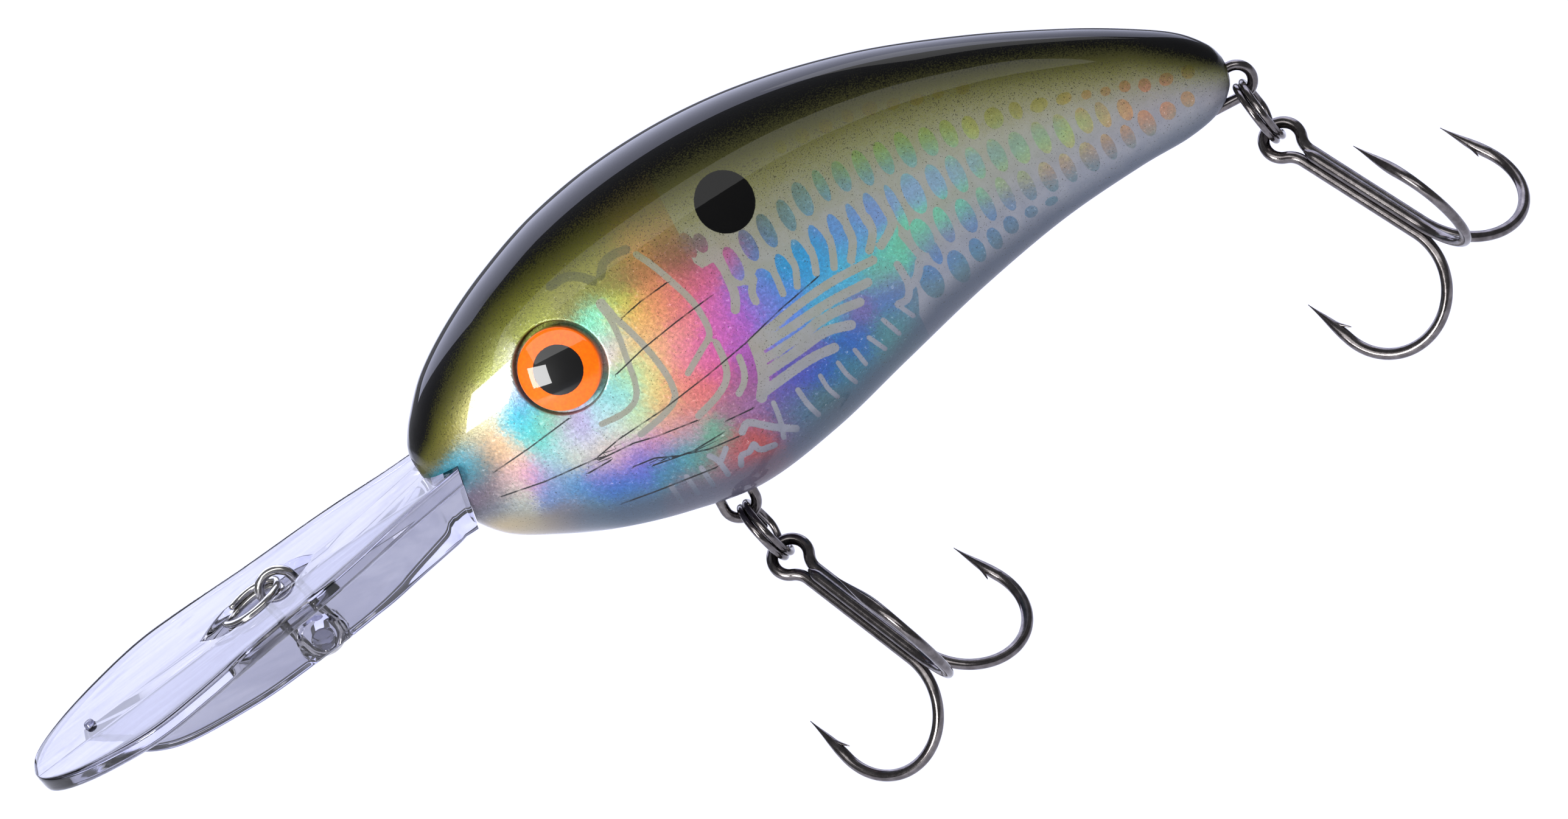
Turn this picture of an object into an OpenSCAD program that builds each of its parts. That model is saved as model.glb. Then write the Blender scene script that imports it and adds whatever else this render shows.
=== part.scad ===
// Deep-diving crankbait: a hollow two-part body, a clear diving lip and two treble hooks.
// X runs from the nose to the tail, Z runs up through the back, and -Y is the left flank.
// The outlines are drawn from the nose; every node is then moved so that the middle of the
// line tie's eye, where the angler's line pulls, is the origin.

/* [Body] */
// Greatest width of the body
body_w = 18.4; // [17.4:0.2:19.4]
// Thickness of the moulded shell
shell_wall = 1.3; // [1.1:0.1:1.5]
// Roundness of the cross-section: 2 is an ellipse, more has flatter flanks
section_power = 2.15; // [2:0.05:2.4]

/* [Eyes] */
// Radius of an eye disc
eye_r = 3.7; // [3.4:0.1:3.8]
// Radius of the socket that the disc sits in
socket_r = 4.15; // [4:0.05:4.3]
// How far the disc's rim stands out of the flank
eye_proud = 0.7; // [0.4:0.1:0.9]

/* [Diving lip] */
// Thickness of the lip's plate
lip_t = 1.6; // [1.5:0.1:1.8]
// Width of the keel under the plate
keel_w = 2.8; // [2.4:0.1:3.2]
// Depth of the hollow around the line tie
hollow_depth = 1; // [0.9:0.05:1.1]

/* [Wires] */
// Radius of the line tie's wire
tie_wire = 0.44; // [0.4:0.02:0.46]
// Radius of a hook hanger's wire
hanger_wire = 0.475; // [0.44:0.005:0.48]
// Radius of a split ring's wire
ring_wire = 0.34; // [0.3:0.01:0.35]
// Radius of a split ring, to the middle of its wire
ring_r = 2.9; // [2.85:0.05:3]
// Radius of a hook's wire
hook_wire = 0.53; // [0.5:0.01:0.55]

/* [Treble hooks] */
// Radius of a hook's eye, to the middle of its wire
hook_eye_r = 1.67; // [1.65:0.01:1.75]
// Radius of a hook's bend, to the middle of its wire
bend_r = 5.7; // [5.2:0.1:5.9]
// Distance from the middle of the hook's eye to the start of the bend
shank_length = 14.8; // [13.8:0.1:15.2]
// Length of a hook's straight point, with its taper
point_length = 4.95; // [4.5:0.05:5]

/* [Inside] */
// Radius of a rattle ball
ball_r = 1.75; // [1.5:0.05:1.75]
// Radius of the ballast slug
ballast_r = 2.5; // [2.2:0.1:2.6]
// Length of the ballast slug
ballast_length = 8.6; // [8:0.2:9]

/* [Hidden] */
$fn = 48;

// Clearance between parts that are pressed or moulded together
fit = 0.02;
// A length that is larger than any part is wide
wide = 30;

// Body outline: station along X, top, bottom and half width there, for the widest body of 18.4
body_rows = [
    [-1.2, 1.9, 0.1, 0.8],
    [-0.8, 2.9, -2.2, 2.2],
    [0.4, 4.7, -5.2, 3.9],
    [3, 7.6, -8.6, 5.5],
    [7, 10.5, -10.9, 6.9],
    [12, 13.2, -13, 7.9],
    [18, 15.6, -14.6, 8.7],
    [25, 17.2, -15.5, 9.2],
    [33, 17.8, -14.1, 8.7],
    [41, 17.2, -11.7, 7.5],
    [50, 15.2, -9.05, 6],
    [59, 11.9, -7, 4.6],
    [67, 8.15, -6.05, 3.6],
    [72, 5.35, -5.8, 2.9],
    [75.3, 3.1, -5, 2.2],
    [77.2, 0.9, -3.4, 1.3],
    [77.8, -0.7, -1.7, 0.5]
];
row_width = body_w / 18.4;
body_stations = 48;
body_steps = 18;

// The hollow runs between these rows of the outline, so the nose and the tail are solid
core_first_row = 5;
core_last_row = 12;
core_stations = 20;
core_steps = 10;

// Where the eye disc sits on the left flank, and the way it faces
eye_at = [14.4, -7.9, 4.9];
eye_facing = [-0.12, -0.93, 0.33];
eye_seat = 1.2;
eye_dome_r = 16;

// Locating pins that join the two halves, as places on the parting plane
pin_places = [[30, 11], [48, 8.5], [61, 3]];
pin_r = 0.9;
pin_reach = 1.6;
pin_boss_r = 2.2;

// The lip's plate slopes down to its tip by this angle
lip_droop = 10.2;
lip_slope = tan(lip_droop);
// The face where the lip's root meets the body, from the plate's top down to the belly
root_top_x = 2.4;
root_foot = [1.3, -5.85];
// A place above the plate on the line from the root's foot through its top
root_above = root_foot + 1.3 * [root_top_x - root_foot[0], lip_slope * root_top_x - root_foot[1]];
// Plate outline in its own plane: distance from the nose and half width
plate_rows = [
    [3, 6],
    [-4, 7],
    [-11, 8.7],
    [-20, 9.9],
    [-27, 11.3],
    [-32, 11.6],
    [-37, 9.8],
    [-41, 7.2],
    [-43.6, 4],
    [-44.6, 0]
];
plate_steps = 6;
// Keel's lower edge, from the body to the tip
keel_edge = [[-4, -7.7], [-10, -9.65], [-20, -11.5], [-25, -12], [-30, -12.1], [-33, -11.5], [-36, -9.9], [-38.5, -8.3]];
// Root's half width as seen from above
root_rows = [[2.4, 4.8], [0, 4.4], [-4, 3.3], [-8, 2.2], [-12, 1.6]];
tang_end = 10;
tang_half_w = 3.2;
tang_skin = 0.2;
// The hollow around the line tie, as the overlap of two circles in the plate's plane
hollow_at = -19.4;
hollow_length = 12.6;
hollow_half_w = 4;
nub_at = -38;
nub_r = 0.5;
nub_h = 0.5;

// Line tie: the middle of its upper eye and of its lower eye in the keel
tie_at = [-17, 0, -3.5];
tie_foot = [-15.6, 0, -9.2];
tie_r = 1.65;
cross_pin_r = tie_r - tie_wire - 0.1;
cross_pin_length = keel_w + 0.6;
boss_r = 2.2;

// Split rings have two coils side by side that this much of their wire overlaps
coil_overlap = 0.06;
coil_offset = ring_wire - coil_overlap / 2;
split_gap = 0.25;

// Hangers: middle of the outer loop, loop radius and distance to the buried loop
hanger_r = 1.475;
belly_loop = [22.1, 0, -16.4];
belly_anchor = [22.1, 0, -11.4];
tail_loop = [77.9, 0, -3.28];
tail_anchor = [72.2, 0, -3.28];

// Stored hang of each treble: where its ring touches the loop, the ring's swing to the
// left, the treble's own direction down its shank and the way its brazed hook faces
belly_hang = [15.5, 25, [0.41, -0.61, -0.68], [-0.01, -0.75, 0.66]];
tail_hang = [10, 25, [0.48, -0.54, -0.69], [0.09, -0.75, 0.65]];
// Distances between the middles of wires that hang in each other
loop_to_ring = hanger_wire + ring_wire + 0.15;
ring_to_eye = hook_wire + ring_wire + 0.4;

// Treble wires: half the gap between the two shanks of the double hook, and the
// distance from them to the shank of the single hook
shank_x = hook_wire + 0.06;
single_y = -0.95;
single_top = 3.6;
neck_turn = 45;
neck_r = (hook_eye_r * cos(neck_turn) - shank_x) / (1 - cos(neck_turn));
neck_end = (hook_eye_r + neck_r) * sin(neck_turn);
bend_turn = 187;
taper_length = 4;
// A short collar covers each place where a straight wire meets a bent one
knuckle_h = 0.3;
knuckle_skin = 0.04;
point_r = 0.05;
barb_back = 4.1;
barb_length = 1.5;
barb_lean = 24;
braze_end = 11.5;
braze_skin = 0.05;

// Rattle cells in a row behind the middle of the body
cell_first = 30;
cell_pitch = 8;
cell_wall = 1;
cell_floor = -4;
cell_roof = 1.2;
ball_play = 0.2;

// Ballast slug and the two ribs that carry it
ballast_at = [31, 0, -9.1];
rib_spread = 6;
rib_t = 1.2;
rib_top = -6;

// --- Curves and lofts ---

function pick(rows, i) = rows[min(max(i, 0), len(rows) - 1)];

// Smooth curve through every row of a table, at row number u
function curve(rows, u) =
    let (
        i = min(floor(u), len(rows) - 2),
        t = u - i,
        a = pick(rows, i - 1),
        b = rows[i],
        c = rows[i + 1],
        d = pick(rows, i + 2)
    )
    0.5 * (2 * b + (c - a) * t + (2 * a - 5 * b + 4 * c - d) * t * t + (3 * b - a - 3 * c + d) * t * t * t);

function smooth(rows, steps) =
    [for (k = [0 : (len(rows) - 1) * steps]) curve(rows, k / steps)];

function rounded_power(v) = sign(v) * pow(abs(v), 2 / section_power);

// One point of the body's cross-section: 90 is the back, 0 the left flank, -90 the belly
function section_point(row, angle, inset) =
    let (
        middle = (row[1] + row[2]) / 2,
        half_h = (row[1] - row[2]) / 2 - inset,
        half_w = row[3] * row_width - inset
    )
    [row[0], -half_w * rounded_power(cos(angle)), middle + half_h * rounded_power(sin(angle))];

function unit(v) = v / norm(v);

// A solid skin over closed rings that all have the same number of points
module loft(rings) {
    n = len(rings[0]);
    last = len(rings) - 1;
    points = [for (ring = rings) each ring];
    sides = [
        for (i = [0 : last - 1], j = [0 : n - 1])
        let (a = i * n + j, b = a + n, c = (i + 1) * n + (j + 1) % n, d = i * n + (j + 1) % n)
        each [[a, b, c], [a, c, d]]
    ];
    near = [for (j = [1 : n - 2]) [0, j, j + 1]];
    far = [for (j = [1 : n - 2]) [last * n, last * n + j + 1, last * n + j]];
    polyhedron(points = points, faces = concat(sides, near, far));
}

// --- Wire shapes ---

module rod(from, to, r) {
    along = to - from;
    turn = acos(along[2] / norm(along));
    heading = atan2(along[1], along[0]);
    translate(from) rotate([0, turn, heading]) cylinder(h = norm(along), r = r);
}

// An arc of wire in the XZ plane, turned from the +X side up towards +Z
module arc_wire(middle_r, start, sweep, r) {
    rotate([90, 0, 0]) rotate([0, 0, start])
        rotate_extrude(angle = sweep) translate([middle_r, 0]) circle(r = r);
}

// A closed oval link in the XZ plane around two places
module oval_link(first, second, middle_r, r) {
    along = second - first;
    heading = atan2(along[2], along[0]);
    translate(first) rotate([0, -heading, 0]) {
        arc_wire(middle_r, 90, 180, r);
        for (side = [-1, 1])
            rod([0, 0, side * middle_r], [norm(along), 0, side * middle_r], r);
        translate([norm(along), 0, 0]) arc_wire(middle_r, -90, 180, r);
    }
}

// Puts a shape drawn down its own -Z, facing its own -Y, where the treble hangs
module along_shank(shank, facing) {
    z = -unit(shank);
    y = -unit(facing - (facing * z) * z);
    x = cross(y, z);
    multmatrix([
        [x[0], y[0], z[0], 0],
        [x[1], y[1], z[1], 0],
        [x[2], y[2], z[2], 0],
        [0, 0, 0, 1]
    ]) children();
}

module placed() {
    translate(-tie_at) children();
}

// --- Body ---

module half_solid() {
    loft([
        for (k = [0 : body_stations])
        let (row = curve(body_rows, k / body_stations * (len(body_rows) - 1)))
        [for (j = [0 : body_steps]) section_point(row, 90 - 180 * j / body_steps, 0)]
    ]);
}

module hollow() {
    span = core_last_row - core_first_row;
    loft([
        for (k = [0 : core_stations])
        let (row = curve(body_rows, core_first_row + span * k / core_stations))
        [for (j = [0 : 2 * core_steps - 1]) section_point(row, 90 - 180 * j / core_steps, shell_wall)]
    ]);
}

module eye_frame() {
    tilt = acos(unit(eye_facing)[2]);
    heading = atan2(eye_facing[1], eye_facing[0]);
    translate(eye_at) rotate([0, tilt, heading]) children();
}

module pin_place(place, from, to, r) {
    translate([place[0], from, place[1]]) rotate([-90, 0, 0]) cylinder(h = to - from, r = r);
}

module slab(low_x, high_x, low_z, high_z) {
    translate([low_x, -wide / 2, low_z]) cube([high_x - low_x, wide, high_z - low_z]);
}

// Everything that is left standing inside the hollow
module inner_walls() {
    slab(18.5, 25.7, -18, -8.6);
    difference() {
        for (side = [-1, 1])
            slab(
                ballast_at[0] + side * rib_spread / 2 - rib_t / 2,
                ballast_at[0] + side * rib_spread / 2 + rib_t / 2,
                -18, rib_top
            );
        translate(ballast_at - [wide / 2, 0, 0]) rotate([0, 90, 0]) cylinder(h = wide, r = ballast_r + fit);
    }
    cells_end = cell_first + 3 * cell_pitch + cell_wall;
    slab(cell_first, cells_end, cell_floor, cell_floor + cell_wall);
    slab(cell_first, cells_end, cell_roof, cell_roof + cell_wall);
    for (k = [0 : 3]) {
        wall_x = cell_first + k * cell_pitch;
        slab(wall_x, wall_x + cell_wall, cell_floor + cell_wall / 2, cell_roof + cell_wall / 2);
    }
    for (place = pin_places)
        pin_place(place, -wide / 2, wide / 2, pin_boss_r);
    eye_frame() translate([0, 0, -eye_seat - 5.2]) cylinder(h = 6, r = socket_r + 1.1);
}

// The side outline of the space that the lip takes from the body
module lip_space() {
    rise = lip_slope * root_top_x + fit;
    rotate([90, 0, 0]) translate([0, 0, -wide / 2]) linear_extrude(height = wide)
        polygon([
            [-6, -6 * lip_slope + fit],
            [root_top_x + fit, rise],
            [root_foot[0] + fit, root_foot[1]],
            [root_foot[0] + fit, -12],
            [-6, -12]
        ]);
    tang(fit);
}

module left_half_shape() {
    difference() {
        half_solid();
        difference() {
            hollow();
            inner_walls();
        }
        lip_space();
        eye_frame() translate([0, 0, -eye_seat]) cylinder(h = 8, r = socket_r);
        oval_link(belly_loop, belly_anchor, hanger_r, hanger_wire + fit);
        oval_link(tail_loop, tail_anchor, hanger_r, hanger_wire + fit);
    }
}

module left_body_half() {
    color("yellowgreen") placed() {
        left_half_shape();
        for (place = pin_places)
            pin_place(place, -0.5, pin_reach, pin_r);
    }
}

module right_body_half() {
    color("olivedrab") placed() difference() {
        mirror([0, 1, 0]) left_half_shape();
        for (place = pin_places)
            pin_place(place, -1, pin_reach + 0.3, pin_r + 2 * fit);
    }
}

module eye_disc() {
    eye_frame() intersection() {
        translate([0, 0, fit - eye_seat]) cylinder(h = 4, r = eye_r);
        translate([0, 0, eye_proud + 0.44 - eye_dome_r]) sphere(r = eye_dome_r);
    }
}

module left_eye() {
    color("darkorange") placed() eye_disc();
}

module right_eye() {
    color("darkorange") placed() mirror([0, 1, 0]) eye_disc();
}

// --- Diving lip ---

module lip_frame() {
    rotate([0, -lip_droop, 0]) children();
}

module tang(gap) {
    lip_frame() translate([0, -tang_half_w - gap, tang_skin - lip_t - gap])
        cube([tang_end + gap, 2 * (tang_half_w + gap), lip_t - 2 * tang_skin + 2 * gap]);
}

module plate() {
    near = smooth(plate_rows, plate_steps);
    far = [for (k = [len(near) - 2 : -1 : 0]) [near[k][0], -near[k][1]]];
    lip_frame() translate([0, 0, -lip_t]) linear_extrude(height = lip_t)
        polygon(concat(near, far));
}

module keel_side() {
    tip = keel_edge[len(keel_edge) - 1];
    polygon(concat(
        [[root_top_x + 0.3, lip_slope * root_top_x - 0.3], root_foot + [0.3, 0]],
        keel_edge,
        [[tip[0], lip_slope * tip[0] - lip_t / 2]]
    ));
}

module across(width) {
    rotate([90, 0, 0]) translate([0, 0, -width / 2]) linear_extrude(height = width) children();
}

module keel_and_root() {
    far = [for (k = [len(root_rows) - 1 : -1 : 0]) [root_rows[k][0], -root_rows[k][1]]];
    across(keel_w) keel_side();
    intersection() {
        across(wide) keel_side();
        translate([0, 0, -wide]) linear_extrude(height = 2 * wide) polygon(concat(root_rows, far));
    }
    intersection() {
        across(cross_pin_length) keel_side();
        translate([tie_foot[0], wide / 2, tie_foot[2]]) rotate([90, 0, 0]) cylinder(h = wide, r = boss_r);
    }
}

// One of the two round cutters whose overlap is the hollow around the line tie
module hollow_cutter(side) {
    circle_r = (pow(hollow_length / 2, 2) + pow(hollow_half_w, 2)) / (2 * hollow_half_w);
    translate([hollow_at, side * (circle_r - hollow_half_w), -hollow_depth]) cylinder(h = 6, r = circle_r);
}

module diving_lip() {
    color("lavender", 0.5) placed() difference() {
        union() {
            difference() {
                union() {
                    plate();
                    keel_and_root();
                }
                across(wide) polygon([root_above, root_foot, [root_foot[0], -12], [8, -12], [8, root_above[1]]]);
            }
            tang(0);
            lip_frame() translate([nub_at, 0, -0.2]) cylinder(h = nub_h + 0.2, r = nub_r);
        }
        lip_frame() intersection() {
            hollow_cutter(-1);
            hollow_cutter(1);
        }
        oval_link(tie_at, tie_foot, tie_r, tie_wire + fit);
        translate([tie_foot[0], wide / 2, tie_foot[2]]) rotate([90, 0, 0])
            cylinder(h = wide, r = cross_pin_r + fit);
    }
}

module lip_cross_pin() {
    color("thistle") placed() translate([tie_foot[0], cross_pin_length / 2, tie_foot[2]])
        rotate([90, 0, 0]) cylinder(h = cross_pin_length, r = cross_pin_r);
}

module line_tie_wire() {
    color("silver") placed() oval_link(tie_at, tie_foot, tie_r, tie_wire);
}

// --- Split rings ---

// Two flat coils around Z, each cut through on its own side
module split_ring() {
    difference() {
        rotate_extrude() translate([ring_r, 0]) union() {
            translate([0, coil_offset]) circle(r = ring_wire);
            translate([0, -coil_offset]) circle(r = ring_wire);
        }
        for (side = [-1, 1])
            rotate([0, 0, 14 * side])
            translate([0, -split_gap / 2, side > 0 ? 0 : -2]) cube([2 * ring_r, split_gap, 2]);
    }
}

// The ring lies forward on the floor of the hollow, hinged on its own wire in the tie's eye
line_ring_pivot = [tie_at[0] + 0.2, 0, (tie_at[0] + 0.2) * lip_slope - hollow_depth / cos(lip_droop) + 2 * ring_wire + 0.05];

module line_split_ring() {
    color("silver") placed() translate(line_ring_pivot) rotate([0, -lip_droop, 0])
        translate([-ring_r, 0, 0]) rotate([0, 0, 90]) split_ring();
}

// --- Hangers and trebles ---

module belly_hook_hanger() {
    color("dimgray") placed() oval_link(belly_loop, belly_anchor, hanger_r, hanger_wire);
}

module tail_hook_hanger() {
    color("dimgray") placed() oval_link(tail_loop, tail_anchor, hanger_r, hanger_wire);
}

function loop_down(hang) = [sin(hang[0]), 0, -cos(hang[0])];
function loop_tangent(hang) = [cos(hang[0]), 0, sin(hang[0])];
function ring_down(hang) = loop_down(hang) * cos(hang[1]) + [0, -1, 0] * sin(hang[1]);
function loop_contact(loop, hang) = loop + hanger_r * loop_down(hang);
function ring_bottom(loop, hang) =
    loop_contact(loop, hang) + (2 * ring_r - loop_to_ring) * ring_down(hang);

module hung_ring(loop, hang) {
    z = loop_tangent(hang);
    x = ring_down(hang);
    y = cross(z, x);
    translate(loop_contact(loop, hang) + (ring_r - loop_to_ring) * x)
        multmatrix([
            [x[0], y[0], z[0], 0],
            [x[1], y[1], z[1], 0],
            [x[2], y[2], z[2], 0],
            [0, 0, 0, 1]
        ]) rotate([0, 0, 90]) split_ring();
}

module hung_treble(loop, hang) {
    translate(ring_bottom(loop, hang) + (hook_eye_r - ring_to_eye) * unit(hang[2]))
        along_shank(hang[2], hang[3]) children();
}

// A short swell of the wire, along Z, where two lengths of it run into each other
module knuckle() {
    cylinder(h = knuckle_h, r = hook_wire + knuckle_skin, center = true);
}

// A hook from the top of its bend: the shank lies on Z and the hook opens towards +X
module hook_bend(top) {
    translate([0, 0, -shank_length]) {
        cylinder(h = shank_length - top, r = hook_wire);
        translate([bend_r, 0, 0]) arc_wire(bend_r, 180, bend_turn, hook_wire);
        translate([bend_r, 0, 0]) rotate([0, 180 - bend_turn, 0]) translate([bend_r, 0, 0]) {
            knuckle();
            cylinder(h = point_length - taper_length, r = hook_wire);
            translate([0, 0, point_length - taper_length])
                cylinder(h = taper_length, r1 = hook_wire, r2 = point_r);
            translate([-0.2, 0, point_length - barb_back])
                rotate([0, 180 + barb_lean, 0]) translate([0, 0, -0.5])
                cylinder(h = barb_length + 0.5, r1 = 0.3, r2 = 0.04);
        }
    }
}

module double_hook() {
    arc_wire(hook_eye_r, -neck_turn, 180 + 2 * neck_turn, hook_wire);
    for (side = [-1, 1]) {
        translate([side * (shank_x + neck_r), 0, -neck_end])
            arc_wire(neck_r, side > 0 ? 180 - neck_turn : 0, neck_turn, hook_wire);
        translate([side * shank_x, 0, -neck_end]) knuckle();
        rotate([0, 90 + side * (90 - neck_turn), 0]) translate([hook_eye_r, 0, 0]) knuckle();
        translate([side * shank_x, 0, 0])
            rotate([0, 0, 90 - side * 60]) hook_bend(neck_end);
    }
}

module single_hook() {
    translate([0, single_y, 0]) {
        rotate([0, 0, -90]) hook_bend(single_top);
        translate([0, 0, -single_top]) cylinder(h = 1.1, r1 = hook_wire, r2 = 0.2);
    }
}

// Brazing metal that fills the grooves between the three shanks
module hook_braze() {
    corners = [[-shank_x, 0], [shank_x, 0], [0, single_y]];
    reach = hook_wire - braze_skin;
    edge = [for (k = [0 : 2]) unit(corners[(k + 1) % 3] - corners[k])];
    out = [for (e = edge) [-e[1], e[0]]];
    outline = [for (k = [0 : 2]) each [corners[k] + reach * out[k], corners[(k + 1) % 3] + reach * out[k]]];
    difference() {
        translate([0, 0, -braze_end]) linear_extrude(height = braze_end - single_top)
            polygon(outline);
        for (place = corners)
            translate([place[0], place[1], -wide]) cylinder(h = 2 * wide, r = hook_wire);
    }
}

module belly_split_ring() {
    color("gray") placed() hung_ring(belly_loop, belly_hang);
}

module belly_double_hook() {
    color("dimgray") placed() hung_treble(belly_loop, belly_hang) double_hook();
}

module belly_single_hook() {
    color("slategray") placed() hung_treble(belly_loop, belly_hang) single_hook();
}

module belly_hook_braze() {
    color("gray") placed() hung_treble(belly_loop, belly_hang) hook_braze();
}

module tail_split_ring() {
    color("gray") placed() hung_ring(tail_loop, tail_hang);
}

module tail_double_hook() {
    color("dimgray") placed() hung_treble(tail_loop, tail_hang) double_hook();
}

module tail_single_hook() {
    color("slategray") placed() hung_treble(tail_loop, tail_hang) single_hook();
}

module tail_hook_braze() {
    color("gray") placed() hung_treble(tail_loop, tail_hang) hook_braze();
}

// --- Inside ---

module ballast_slug() {
    color("darkgray") placed() translate(ballast_at - [ballast_length / 2, 0, 0])
        rotate([0, 90, 0]) cylinder(h = ballast_length, r = ballast_r);
}

module rattle_ball(k) {
    color("lightsteelblue") placed()
        translate([cell_first + (k - 1) * cell_pitch + cell_wall + ball_r + ball_play, 0,
            cell_floor + cell_wall + ball_r + 0.03])
        sphere(r = ball_r);
}

left_body_half();
right_body_half();
left_eye();
right_eye();
diving_lip();
lip_cross_pin();
line_tie_wire();
line_split_ring();
belly_hook_hanger();
belly_split_ring();
belly_double_hook();
belly_single_hook();
belly_hook_braze();
tail_hook_hanger();
tail_split_ring();
tail_double_hook();
tail_single_hook();
tail_hook_braze();
ballast_slug();
rattle_ball(1);  // rattle_ball_1
rattle_ball(2);  // rattle_ball_2
rattle_ball(3);  // rattle_ball_3
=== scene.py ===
"""Looks of a crankbait lure: foil-printed body, clear lip, painted eyes, plated wires and treble hooks.

All shapes are drawn in millimetres from the body's nose: X to the tail, Z up, the left flank at -Y.
put() moves them to the frame's own origin, the line tie, and turns them into metres.
"""

import math

import bmesh
import bpy
import numpy as np
from mathutils import Matrix, Vector


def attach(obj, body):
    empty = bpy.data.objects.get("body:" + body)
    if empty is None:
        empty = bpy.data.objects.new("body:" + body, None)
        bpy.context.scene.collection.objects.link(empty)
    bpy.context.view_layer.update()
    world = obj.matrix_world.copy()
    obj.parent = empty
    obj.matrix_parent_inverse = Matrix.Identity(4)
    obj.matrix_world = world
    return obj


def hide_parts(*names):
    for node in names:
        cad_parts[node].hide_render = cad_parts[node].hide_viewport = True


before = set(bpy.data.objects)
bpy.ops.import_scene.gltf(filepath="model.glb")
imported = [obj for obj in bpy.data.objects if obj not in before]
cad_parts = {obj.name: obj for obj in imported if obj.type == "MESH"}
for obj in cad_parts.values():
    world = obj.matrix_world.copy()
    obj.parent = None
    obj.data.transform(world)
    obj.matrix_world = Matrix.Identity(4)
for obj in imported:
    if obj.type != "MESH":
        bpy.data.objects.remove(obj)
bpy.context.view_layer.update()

MM = 0.001

# ---------------------------------------------------------------- shapes of the design

# Body's sections: distance behind the nose, top, bottom, half width
BODY_ROWS = np.array([
    [-1.2, 1.9, 0.1, 0.8],
    [-0.8, 2.9, -2.2, 2.2],
    [0.4, 4.7, -5.2, 3.9],
    [3, 7.6, -8.6, 5.5],
    [7, 10.5, -10.9, 6.9],
    [12, 13.2, -13, 7.9],
    [18, 15.6, -14.6, 8.7],
    [25, 17.2, -15.5, 9.2],
    [33, 17.8, -14.1, 8.7],
    [41, 17.2, -11.7, 7.5],
    [50, 15.2, -9.05, 6],
    [59, 11.9, -7, 4.6],
    [67, 8.15, -6.05, 3.6],
    [72, 5.35, -5.8, 2.9],
    [75.3, 3.1, -5, 2.2],
    [77.2, 0.9, -3.4, 1.3],
    [77.8, -0.7, -1.7, 0.5],
])
SECTION_POWER = 2.15

# Eye: its middle on the left flank, where it looks, and how deep it sits and stands out
EYE_AT = np.array([14.65, -7.9, 4.95])
EYE_FACING = np.array([-0.13, -0.945, 0.26])
EYE_R = 3.7
SOCKET_R = 4.15
EYE_SEAT = 1.2
EYE_PROUD = 0.7
EYE_DOME = 0.58
PUPIL = 0.602
SOCKET_EASE = 0.12

# Lip: the plate's outline in its own plane as (along, half width), the keel's lower edge in the
# side view, and the half width of the keel and root along the plate
LIP_DROOP = math.radians(10.2)
LIP_SLOPE = math.tan(LIP_DROOP)
LIP_T = 1.6
ROOT_TOP = np.array([2.4, 0.43])
ROOT_FOOT = np.array([1.3, -5.85])
PLATE_ROWS = np.array([
    [3, 6], [-4, 7], [-11, 8.7], [-20, 9.9], [-27, 11.3],
    [-32, 11.6], [-37, 9.8], [-41, 7.2], [-43.6, 4], [-44.6, 0],
])
KEEL_EDGE = np.array([
    [1.3, -5.85], [-4, -7.7], [-10, -9.65], [-20, -11.5], [-25, -12], [-30, -12.1],
    [-33, -11.5], [-36, -9.9], [-38.5, -8.3], [-41, -8.2],
])
ROOT_ROWS = np.array([[-40, 1.4], [-12, 1.5], [-8, 2.2], [-4, 3.3], [0, 4.4], [2.4, 4.8]])
HOLLOW_AT = -19.4
HOLLOW_LENGTH = 12.6
HOLLOW_HALF_W = 4
HOLLOW_DEPTH = 1
NUB_AT = -38
ROOT_GAP = 0.04
PLATE_GAP = 0.03
SEAT_REACH = 4.5

# Line tie: a link through the lip and the clear pin inside its lower loop
TIE_TOP = np.array([-17, 0, -3.5])
TIE_FOOT = np.array([-15.6, 0, -9.2])
TIE_R = 1.65
TIE_WIRE = 0.44
PIN_R = 1.1
PIN_HALF = 1.7
BOSS_R = 2.2

# Wires: rings, hangers and hooks
RING_R = 2.9
RING_WIRE = 0.34
HANGER_R = 1.475
HANGER_WIRE = 0.475
HOOK_WIRE = 0.53
HOOK_EYE_R = 1.67
BEND_R = 5.7
SHANK = 14.8
POINT = 4.95
LOOP_TO_RING = HANGER_WIRE + RING_WIRE + 0.15
RING_TO_EYE = HOOK_WIRE + RING_WIRE + 0.4

# Each hang: outer loop, buried loop, loop contact angle, ring swing, shank direction, facing
HANGS = {
    "belly": ([22.1, 0, -16.4], [22.1, 0, -11.4], 15.5, 25, [0.41, -0.61, -0.68], [-0.01, -0.75, 0.66]),
    "tail": ([77.9, 0, -3.28], [72.2, 0, -3.28], 10, 25, [0.48, -0.54, -0.69], [0.09, -0.75, 0.65]),
}

# The side view: its middle, and the ways right and up in it while the lure lies level
AIM = np.array([29.2, 0, -10.35])
RIGHT_AT_REST = np.array([0.998, 0.066, 0])
UP_AT_REST = np.array([-0.021, 0.325, 0.945])


# ---------------------------------------------------------------- small maths


def unit(v):
    v = np.asarray(v, float)
    return v / np.linalg.norm(v)


def smoothstep(low, high, v):
    t = np.clip((v - low) / (high - low), 0, 1)
    return t * t * (3 - 2 * t)


def spline(rows, u):
    """Smooth curve through every row of a table, at the row numbers u."""
    u = np.atleast_1d(np.asarray(u, float))
    last = len(rows) - 1
    i = np.clip(np.floor(u).astype(int), 0, last - 1)
    t = (u - i)[:, None]
    a, b = rows[np.clip(i - 1, 0, last)], rows[i]
    c, d = rows[i + 1], rows[np.clip(i + 2, 0, last)]
    return 0.5 * (2 * b + (c - a) * t + (2 * a - 5 * b + 4 * c - d) * t**2 + (3 * b - a - 3 * c + d) * t**3)


def spread(rows, count, weights=1.0):
    """Row numbers whose places along the smooth curve are evenly far apart."""
    u = np.linspace(0, len(rows) - 1, 4000)
    p = spline(rows, u) * weights
    run = np.concatenate([[0], np.cumsum(np.linalg.norm(np.diff(p, axis=0), axis=1))])
    return np.interp(np.linspace(0, run[-1], count), run, u)


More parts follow.
